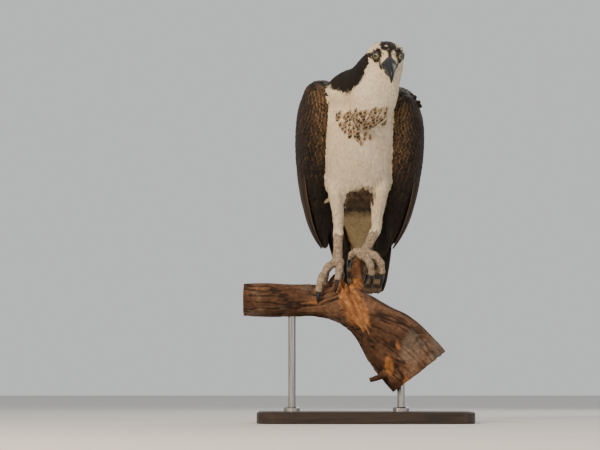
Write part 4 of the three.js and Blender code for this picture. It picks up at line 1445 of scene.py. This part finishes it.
def shape_bill(v, t, q):
    """Ridge along the top, flat cutting edges, a step at the cere."""
    l, f, u = head_local(v)
    r = bu.read(t * bu.total)
    c = r[:, :3]
    cl, cf, cu = head_local(c)
    top = np.clip((u - cu) / np.maximum(r[:, 4], 0.5), -1, 1)
    pinch = (1 - 0.36 * sstep(-0.1, 1.0, top)) * (1 + 0.10 * sstep(0.0, -0.8, top))
    l2 = l * pinch
    # cere: a soft swollen band, then a fine groove
    cere = np.exp(-((f - 22.5) / 3.4) ** 2) * 0.55 - np.exp(-((f - 28.2) / 1.0) ** 2) * 0.5
    k = 1 + cere / np.maximum(r[:, 3], 2)
    l2, u2 = l2 * k, cu + (u - cu) * k
    return (np.stack([l2, -f, u2], axis=1) @ HEAD_R.T) + EYE_MID


bu = bill_upper()
v, f = bu.mesh(56, 90, reshape=shape_bill)
bill_top = new_object("bill_upper_horn", v, f)
l, fo, u = head_local(v)
cere = sstep(28.4, 27.0, fo + 0.12 * np.abs(l)) * sstep(-17, -10, u)
base = np.array([0.0065, 0.0068, 0.0078])
cerec = np.array([0.018, 0.021, 0.026])
col = lerp(np.tile(base, (len(v), 1)), cerec, cere[:, None])
col = lerp(col, np.array([0.006, 0.006, 0.007]), sstep(44, 52, fo)[:, None])
# nostril: a slanting dark slit in each side of the cere
ns = np.hypot((fo - 25.4) / 2.3, (u + 3.6 - 0.35 * (fo - 25.4)) / 0.95)
nst = sstep(1.25, 0.75, ns) * (np.abs(l) > 4)
col = lerp(col, np.array([0.003, 0.003, 0.003]), nst[:, None])
set_colour(bill_top.data, col)
vv = v.copy()
vv -= (HEAD_SIDE * (np.sign(l) * nst * 0.7)[:, None])
set_verts(bill_top.data, vv)
bill_top.data.materials.append(MAT_HORN)

bl = head_loft([[12, -14.8, 8.4, 4.2], [22, -15.2, 7.7, 4.0], [34, -15.0, 5.3, 3.0],
                [40, -14.4, 3.3, 2.0], [42, -14.2, 1.4, 0.9]], 2.2)
v, f = bl.mesh(40, 50)
bill_low = new_object("bill_lower_horn", v, f)
l, fo, u = head_local(v)
set_colour(bill_low.data, lerp(np.tile(base * 1.1, (len(v), 1)), cerec * 0.8, sstep(27, 20, fo)[:, None]))
bill_low.data.materials.append(MAT_HORN)


def eye_material(s):
    m = Mat("eye_" + ("left" if s > 0 else "right"), 0.06, 0.6)
    c = head_point(s * EYE_SIDE, -1, 0.6) * MM
    gz = gaze(s)
    tc = m.add("ShaderNodeTexCoord").outputs["Object"]
    sub = m.add("ShaderNodeVectorMath", operation="SUBTRACT")
    m.link(tc, sub.inputs[0])
    sub.inputs[1].default_value = tuple(c)
    nrm = m.add("ShaderNodeVectorMath", operation="NORMALIZE")
    m.link(sub.outputs[0], nrm.inputs[0])
    dot = m.add("ShaderNodeVectorMath", operation="DOT_PRODUCT")
    m.link(nrm.outputs[0], dot.inputs[0])
    dot.inputs[1].default_value = tuple(gz)
    ang = m.add("ShaderNodeMath", operation="ARCCOSINE")
    m.link(dot.outputs["Value"], ang.inputs[0])
    # radial streaks in the iris
    n = m.noise(900, 5)
    a2 = m.add("ShaderNodeMath", operation="MULTIPLY", i_1=0.06)
    m.link(n, a2.inputs[0])
    a3 = m.add("ShaderNodeMath", operation="ADD")
    m.link(ang.outputs[0], a3.inputs[0])
    m.link(a2.outputs[0], a3.inputs[1])
    col = m.ramp(m.map(a3.outputs[0], 0.0, 1.2), [
        (0.0, (0.002, 0.002, 0.002)), (0.29, (0.002, 0.002, 0.002)), (0.32, (0.06, 0.045, 0.015)),
        (0.40, (0.17, 0.135, 0.045)), (0.56, (0.21, 0.17, 0.06)), (0.64, (0.08, 0.06, 0.02)),
        (0.69, (0.008, 0.007, 0.006)), (1.0, (0.006, 0.005, 0.005))])
    m.colour(col)
    m.b.inputs["Coat Weight"].default_value = 0.8
    m.b.inputs["Coat Roughness"].default_value = 0.02
    return m.m


def lid_material():
    m = Mat("eyelid", 0.45, 0.4)
    n = m.noise(1500, 3)
    m.colour(m.ramp(n, [(0.3, (0.008, 0.008, 0.008)), (0.7, (0.03, 0.028, 0.026))]))
    m.bump(n, 0.5, 0.0003)
    return m.m


MAT_LID = lid_material()
eyes, lids = {}, {}
for s, nm in ((-1, "right"), (1, "left")):
    c = head_point(s * EYE_SIDE, -1, 0.6)
    gz = gaze(s)
    a = unit(np.cross(gz, [0, 0, 1.0]))
    bb = np.cross(gz, a)
    V, F = [], []
    rings, seg = 40, 56
    for i in range(1, rings):
        th = math.pi * i / rings
        bulge = 0.55 * math.exp(-(th / 0.62) ** 4)       # cornea stands a little proud
        r = EYE_RADIUS + bulge
        for j in range(seg):
            ph = 2 * math.pi * j / seg
            V.append(c + (gz * math.cos(th) + (a * math.cos(ph) + bb * math.sin(ph)) * math.sin(th)) * r)
    V += [c + gz * (EYE_RADIUS + 0.55), c - gz * EYE_RADIUS]
    for i in range(rings - 2):
        for j in range(seg):
            k = (j + 1) % seg
            F.append((i * seg + j, (i + 1) * seg + j, (i + 1) * seg + k, i * seg + k))
    nt, nb = len(V) - 2, len(V) - 1
    for j in range(seg):
        k = (j + 1) % seg
        F.append((nt, j, k))
        F.append((nb, (rings - 2) * seg + k, (rings - 2) * seg + j))
    V = np.array(V)
    if signed_volume(V, F) < 0:
        F = [q[::-1] for q in F]
    eyes[s] = new_object("eyeball_" + nm, V, F)
    eyes[s].data.materials.append(eye_material(s))
    # lids: a rim round the opening, the upper one straighter and heavier
    upv = unit(HEAD_R @ np.array([0, 0, 1.0]) - gz * np.dot(HEAD_R @ np.array([0, 0, 1.0]), gz))
    sdv = np.cross(gz, upv)
    V, F, seg2, tube = [], [], 72, 14
    for j in range(seg2):
        ph = 2 * math.pi * j / seg2
        upness = math.cos(ph)
        open_ang = math.radians(49 - 9.5 * max(upness, 0) ** 0.9 - 1.5 * max(-upness, 0))
        d = (upv * math.cos(ph) + sdv * math.sin(ph))
        rad = 1.05 + 0.75 * max(upness, 0) ** 0.7
        cen = c + (gz * math.cos(open_ang + 0.10) + d * math.sin(open_ang + 0.10)) * (EYE_RADIUS + 0.35)
        out = unit(cen - c)
        along = unit(np.cross(out, unit(np.cross(d, gz))))
        for k in range(tube):
            q = 2 * math.pi * k / tube
            V.append(cen + out * math.cos(q) * rad * 0.62 + along * math.sin(q) * rad * 1.25)
    for j in range(seg2):
        for k in range(tube):
            j2, k2 = (j + 1) % seg2, (k + 1) % tube
            F.append((j * tube + k, j2 * tube + k, j2 * tube + k2, j * tube + k2))
    V = np.array(V)
    if signed_volume(V, F) < 0:
        F = [q[::-1] for q in F]
    lids[s] = new_object("eyelid_" + nm, V, F)
    lids[s].data.materials.append(MAT_LID)

talons = []
for s, nm in ((-1, "right"), (1, "left")):
    for i in range(4):
        v, f = talon(s, i).mesh(24, 40)
        ob = new_object(f"claw_{nm}_{i + 1}", v, f)
        ob.data.materials.append(MAT_TALON)
        talons.append((ob, f"talon_{nm}_{i + 1}"))


# =====================================================================
# perch: weathered branch, torn wood, spur
# =====================================================================
def build_perch():
    r, z = BRANCH_RADIUS, BRANCH_TOP - BRANCH_RADIUS
    level = Loft([
        [BRANCH_LEFT, 1, z + 1, r * 0.98, r], [-140, -1, z + 1, r, r * 1.02], [-104, 0, z, r * 1.02, r],
        [-68, 0, z, r * 1.02, r * 1.02], [-34, 0, z - 4, r * 1.08, r * 1.1], [-8, 0, z - 14, r * 1.16, r * 1.2],
        [17, 0, z - 31, r * 1.3, r * 1.38], [50, 0, z - 63, LIMB_RADIUS * 0.92, LIMB_RADIUS],
        [77, 0, z - 92, LIMB_RADIUS * 0.95, LIMB_RADIUS * 1.06],
        [106, 0, z - 128, LIMB_RADIUS * 0.94, LIMB_RADIUS * 1.03]], (0, 1, 0))
    collar = Loft([[-36, 2, 196, 12, 14], [-36, -1, 210, 15, 17], [-35, -3, 222, 12, 14], [-35, -4, 230, 5, 6]])
    torn = Loft([[-2, -8, 168, 22, 20], [-6, -14, 190, 19, 15], [-10, -16, 204, 14, 11], [-13, -15, 212, 5, 4]], square=2.6)
    spur = Loft([[1, -2, 172, 14, 16], [-2, -4, 205, 10, 12], [-3, -6, 230, 8.6, 10.5], [-3, -7, 246, 8, 9.5],
                 [-3, -7.5, SPUR_TOP - 2, 6, 7], [-3, -7.5, SPUR_TOP, 2.5, 3]], square=2.5)
    stub = Loft([[15, -22, 66, 4.5, 4.5], [27, -26, 70, 5.5, 5.5], [46, -20, 80, 7.5, 7.5]], (0, 0, 1))
    gs = np.random.default_rng(5)
    shards = []
    for i in range(15):
        a = i / 14
        x0, z0 = -34 + 38 * a + gs.normal(0, 1.5), 190 + 9 * math.sin(math.pi * a) + gs.normal(0, 3)
        y0 = -19 + gs.normal(0, 3.5)
        d = unit(np.array([-0.34 + 0.4 * a + gs.normal(0, 0.10), -0.12 + gs.normal(0, 0.10), 1.0]))
        ln = gs.uniform(12, 25)
        at_ = lambda t: list(np.array([x0, y0, z0]) + d * ln * t)
        w_, d_ = gs.uniform(3.2, 5.4), gs.uniform(2.0, 3.2)
        shards.append(Loft([[*at_(-0.9), w_, d_], [*at_(0), w_, d_], [*at_(0.6), w_ * 0.62, d_ * 0.8],
                            [*at_(1), 0.9, 0.9]], square=3.0))
    for i in range(6):
        a = i / 5
        x0, y0 = -3 + 7.5 * math.cos(a * 5.2), -6 + 8 * math.sin(a * 5.2)
        shards.append(Loft([[x0, y0, 222, 3.4, 2.6], [x0, y0, 240, 2.8, 2.2],
                            [x0 * 0.9, y0 * 0.95, gs.uniform(246, 258), 0.8, 0.8]], square=3.0))
    V, F, n = [], [], 0
    for sh, ar, al in [(level, 64, 120), (collar, 32, 20), (torn, 36, 24), (spur, 32, 40), (stub, 20, 16)] + [
            (k, 14, 14) for k in shards]:
        v, f = sh.mesh(ar, al, grow=-0.8)
        V.append(v)
        F += [tuple(k + n for k in q) for q in f]
        n += len(v)
    src = new_object("perch_source", np.concatenate(V), F)
    md = src.modifiers.new("r", "REMESH")
    md.mode = "VOXEL"
    md.voxel_size = 0.0013
    dg = bpy.context.evaluated_depsgraph_get()
    me = bpy.data.meshes.new_from_object(src.evaluated_get(dg))
    bpy.data.objects.remove(src)
    # saw off the lower end square to the limb
    bm = bmesh.new()
    bm.from_mesh(me)
    cut = bmesh.ops.bisect_plane(bm, geom=bm.verts[:] + bm.edges[:] + bm.faces[:], dist=1e-6,
                                 plane_co=Vector((0.093, 0, 0.080)), plane_no=Vector((0.62, 0, -0.785)),
                                 clear_outer=True)
    edges = [e for e in cut["geom_cut"] if isinstance(e, bmesh.types.BMEdge)]
    bmesh.ops.holes_fill(bm, edges=edges, sides=0)
    bmesh.ops.triangulate(bm, faces=[f for f in bm.faces if len(f.verts) > 4])
    bm.to_mesh(me)
    bm.free()
    ob = bpy.data.objects.new("perch_wood", me)
    bpy.context.scene.collection.objects.link(ob)
    v = vert_array(me)
    me.update()
    nrm = np.empty(len(v) * 3, np.float32)
    me.vertices.foreach_get("normal", nrm)
    nrm = nrm.reshape(-1, 3).astype(float)
    ends = np.maximum(sstep(0.75, 0.95, -nrm[:, 0]) * sstep(-170, -175, v[:, 0]),
                      sstep(0.9, 0.98, nrm @ unit(np.array([0.62, 0, -0.785]))))
    # along the grain: stretch the noise along the branch
    ang = np.interp(v[:, 0], [-60, 10, 80], [0.0, 0.55, 0.85])
    along = v[:, 0] * np.cos(ang) - v[:, 2] * np.sin(ang)
    across = v[:, 0] * np.sin(ang) + v[:, 2] * np.cos(ang)
    gp = np.stack([along / 5.0, v[:, 1], across], axis=1)
    ridges = 1 - np.abs(2 * fbm(gp, 7.5, 4, 31) - 1)
    cracks = sstep(0.86, 0.97, 1 - np.abs(2 * fbm(gp + 40, 10, 3, 47) - 1))
    lumps = fbm(v, 34, 3, 51) - 0.5
    ta = (v[:, 0] + 9) * 0.466 - (v[:, 2] - 178) * 0.885
    tb = (v[:, 0] + 9) * 0.885 + (v[:, 2] - 178) * 0.466
    ragged = (fbm(np.stack([tb, v[:, 1], ta / 6], axis=1), 4, 2, 61) - 0.5) * 0.9
    torn_m = sstep(1.1, 0.92, np.hypot(ta / 38, tb / 17) + ragged * sstep(10, 40, np.abs(ta))) * sstep(0.35, -0.2, nrm[:, 1])
    torn_m = np.maximum(torn_m, sstep(203, 208, v[:, 2]) * (v[:, 1] < -8) * (v[:, 2] < 222) * (v[:, 0] > -38))
    spur_m = sstep(224, 232, v[:, 2]) * sstep(14, 10, np.abs(v[:, 0] + 3))
    fibre = fbm(np.stack([tb, v[:, 1], ta / 8], axis=1), 3.4, 3, 71)
    disp = lumps * 3.0 + (ridges - 0.7) * 1.6 - cracks * 1.5
    disp = lerp(disp, (fibre - 0.5) * 4.2, torn_m)
    disp = lerp(disp, (fibre - 0.5) * 2.2, spur_m)
    disp = np.where(ends > 0.5, (fbm(v, 3, 2, 81) - 0.5) * 0.5, disp)
    knot = np.hypot(v[:, 0] - 92, (v[:, 2] - 128) * 1.2) + 300 * (v[:, 1] > 0)
    disp += 3.0 * np.exp(-((knot - 8) / 3.0) ** 2) - 2.4 * np.exp(-(knot / 4.5) ** 2)
    v2 = v + nrm * np.clip(disp, -4, 2.0)[:, None]
    set_verts(me, v2)
    me.polygons.foreach_set("use_smooth", [True] * len(me.polygons))
    tone = fbm(v, 26, 4, 91)
    bark = lerp(np.array([0.105, 0.050, 0.027]), np.array([0.235, 0.122, 0.068]), sstep(0.35, 0.65, tone)[:, None])
    bark = lerp(bark, np.array([0.055, 0.030, 0.018]), (0.75 * sstep(0.75, 0.45, ridges) + 0.0)[:, None] * 0.8)
    bark = lerp(bark, np.array([0.03, 0.018, 0.012]), (0.9 * cracks)[:, None])
    grey = sstep(0.55, 0.7, fbm(v, 40, 3, 97))
    bark = lerp(bark, np.array([0.27, 0.215, 0.165]), (0.45 * grey)[:, None])
    raw = lerp(np.array([0.52, 0.24, 0.092]), np.array([0.27, 0.108, 0.040]), sstep(0.35, 0.65, fibre)[:, None])
    col = lerp(bark, raw, torn_m[:, None])
    col = lerp(col, lerp(raw * 0.5, bark, 0.45), (0.9 * spur_m)[:, None])
    # orange scars where the bark has come away
    scar = sstep(1.15, 0.75, np.hypot((v[:, 0] - 44) / 7, (v[:, 2] - 88) / 15 + (v[:, 0] - 44) / 26)) * (v[:, 1] < 0)
    for sx, sz, sw, sh_, tilt in ((-24, 205, 5, 9, 0.3), (70, 60, 6, 12, -0.2), (58, 118, 4, 7, 0.4), (-70, 186, 9, 3, 0.0)):
        spot_ = np.hypot((v[:, 0] - sx) / sw, (v[:, 2] - sz) / sh_ + tilt * (v[:, 0] - sx) / sw) + ragged * 0.6
        scar = np.maximum(scar, 0.7 * sstep(1.1, 0.6, spot_) * (v[:, 1] < 0))
    col = lerp(col, np.array([0.52, 0.22, 0.07]), (0.8 * scar)[:, None])
    endc = lerp(np.array([0.50, 0.34, 0.19]), np.array([0.36, 0.22, 0.115]),
                (0.5 + 0.5 * np.sin(np.hypot(v[:, 1], np.hypot(v[:, 0] - 93, v[:, 2] - 80) + 0) * 1.9
                                    + 3 * fbm(v, 20, 2, 3)))[:, None])
    endl = lerp(np.array([0.50, 0.34, 0.19]), np.array([0.36, 0.22, 0.115]),
                (0.5 + 0.5 * np.sin(np.hypot(v[:, 1], v[:, 2] - 190) * 2.2 + 3 * fbm(v, 20, 2, 3)))[:, None])
    col = lerp(col, np.where((v[:, 0] < -160)[:, None], endl, endc), ends[:, None])
    set_colour(me, col)
    m = Mat("bark", 0.85, 0.2)
    c = m.add("ShaderNodeAttribute", attribute_name="Col").outputs[0]
    nn = m.noise(160, 6, 0.65)
    n2 = m.noise(900, 4, 0.6)
    m.colour(m.mix(m.map(nn, 0.3, 0.72), m.mix(1.0, c, (0.36, 0.32, 0.29), "MULTIPLY"), c))
    m.rough(m.map(nn, 0.3, 0.7, 0.75, 0.95))
    ad = m.add("ShaderNodeMath", operation="ADD")
    m.link(nn, ad.inputs[0])
    m.link(n2, ad.inputs[1])
    m.bump(ad.outputs[0], 0.8, 0.0012)
    me.materials.append(m.m)
    return ob


perch = build_perch()


# =====================================================================
# display stand
# =====================================================================
def stand_materials():
    w = Mat("stand_wood", 0.42, 0.4)
    n = w.noise(9, 5, 0.6, stretch=(1.2, 14, 14))
    n2 = w.noise(60, 4, 0.6, stretch=(0.6, 12, 12))
    a = w.ramp(n, [(0.3, (0.012, 0.008, 0.006)), (0.55, (0.045, 0.027, 0.017)), (0.8, (0.020, 0.012, 0.008))])
    w.colour(w.mix(w.map(n2, 0.35, 0.7, 0.0, 0.5), a, (0.008, 0.006, 0.005)))
    w.rough(w.map(n2, 0.3, 0.7, 0.34, 0.5))
    w.bump(n2, 0.15, 0.0004)
    s = Mat("stand_metal", 0.32, 0.5)
    s.b.inputs["Metallic"].default_value = 1.0
    n = s.noise(300, 3, 0.5, stretch=(1, 1, 0.05))
    s.colour(s.ramp(n, [(0.3, (0.30, 0.29, 0.28)), (0.7, (0.46, 0.45, 0.43))]))
    s.rough(s.map(n, 0.3, 0.7, 0.26, 0.42))
    return w.m, s.m


MAT_WOOD, MAT_METAL = stand_materials()
for node_name, mt in (("stand_base", MAT_WOOD), ("stand_rod_left", MAT_METAL), ("stand_rod_right", MAT_METAL)):
    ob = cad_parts[node_name]
    ob.data.materials.clear()
    ob.data.materials.append(mt)

# =====================================================================
# pieces to bodies; the nodes they replace are hidden
# =====================================================================
BODY = "root"
flesh = ["trunk", "neck", "head", "wing_right", "wing_left", "thigh_right", "thigh_left",
         "tarsus_right", "tarsus_left", "foot_right", "foot_left"]
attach(skin, BODY)
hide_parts(*flesh)
for ob in coats:
    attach(ob, BODY)
    if ob.name.startswith("tail_feathers"):
        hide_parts("tail")
    if ob.name.startswith("flight_right"):
        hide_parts("primaries_right")
    if ob.name.startswith("flight_left"):
        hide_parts("primaries_left")
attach(bill_top, BODY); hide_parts("bill_upper")
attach(bill_low, BODY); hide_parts("bill_lower")
for s, nm in ((-1, "right"), (1, "left")):
    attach(eyes[s], BODY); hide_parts("eye_" + nm)
    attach(lids[s], BODY)
for ob, node_name in talons:
    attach(ob, BODY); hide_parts(node_name)
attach(perch, BODY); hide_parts("perch")


# =====================================================================
# floor, light, camera
# =====================================================================
floor = new_object("floor", np.array([[-9000, -6000, 0], [9000, -6000, 0], [9000, 30000, 0], [-9000, 30000, 0.0]]),
                   [(0, 1, 2, 3)], smooth=False)
fm = Mat("floor_pale", 0.9, 0.2)
fm.colour(fm.ramp(fm.noise(3, 2), [(0.3, (0.60, 0.59, 0.57)), (0.7, (0.63, 0.62, 0.60))]))
floor.data.materials.append(fm.m)

world = bpy.data.worlds.new("studio")
bpy.context.scene.world = world
world.use_nodes = True
bg = world.node_tree.nodes["Background"]
bg.inputs[0].default_value = (0.88, 0.89, 0.90, 1)
bg.inputs[1].default_value = 0.72


def area(name, loc, target, size, power, colour):
    li = bpy.data.lights.new(name, "AREA")
    li.shape = "SQUARE"
    li.size = size
    li.energy = power
    li.color = colour
    ob = bpy.data.objects.new(name, li)
    ob.location = loc
    ob.rotation_euler = (Vector(target) - Vector(loc)).to_track_quat("-Z", "Y").to_euler()
    bpy.context.scene.collection.objects.link(ob)
    return ob


area("key", (-1.3, -2.2, 1.5), (0, 0, 0.4), 0.7, 78, (1.0, 0.80, 0.56))
area("fill", (2.2, -2.0, 0.9), (0, 0, 0.4), 1.8, 12, (1.0, 0.93, 0.84))
area("rim", (0.9, 2.0, 1.8), (0, 0, 0.4), 1.2, 22, (1.0, 0.93, 0.84))

PIXEL, DISTANCE, TILT = 1.55, 3300.0, math.radians(4.5)
target = np.array([-91.5, 0.0, 306.0])
cam_at = target - DISTANCE * np.array([0, math.cos(TILT), math.sin(TILT)])
cd = bpy.data.cameras.new("camera")
cd.sensor_width = 36.0
cd.lens = 36.0 * DISTANCE / (600 * PIXEL)
cd.clip_start, cd.clip_end = 0.1, 100.0
cam = bpy.data.objects.new("camera", cd)
cam.location = tuple(cam_at * MM)
cam.rotation_euler = (math.pi / 2 + TILT, 0, 0)
bpy.context.scene.collection.objects.link(cam)
bpy.context.scene.camera = cam

bpy.context.view_layer.update()
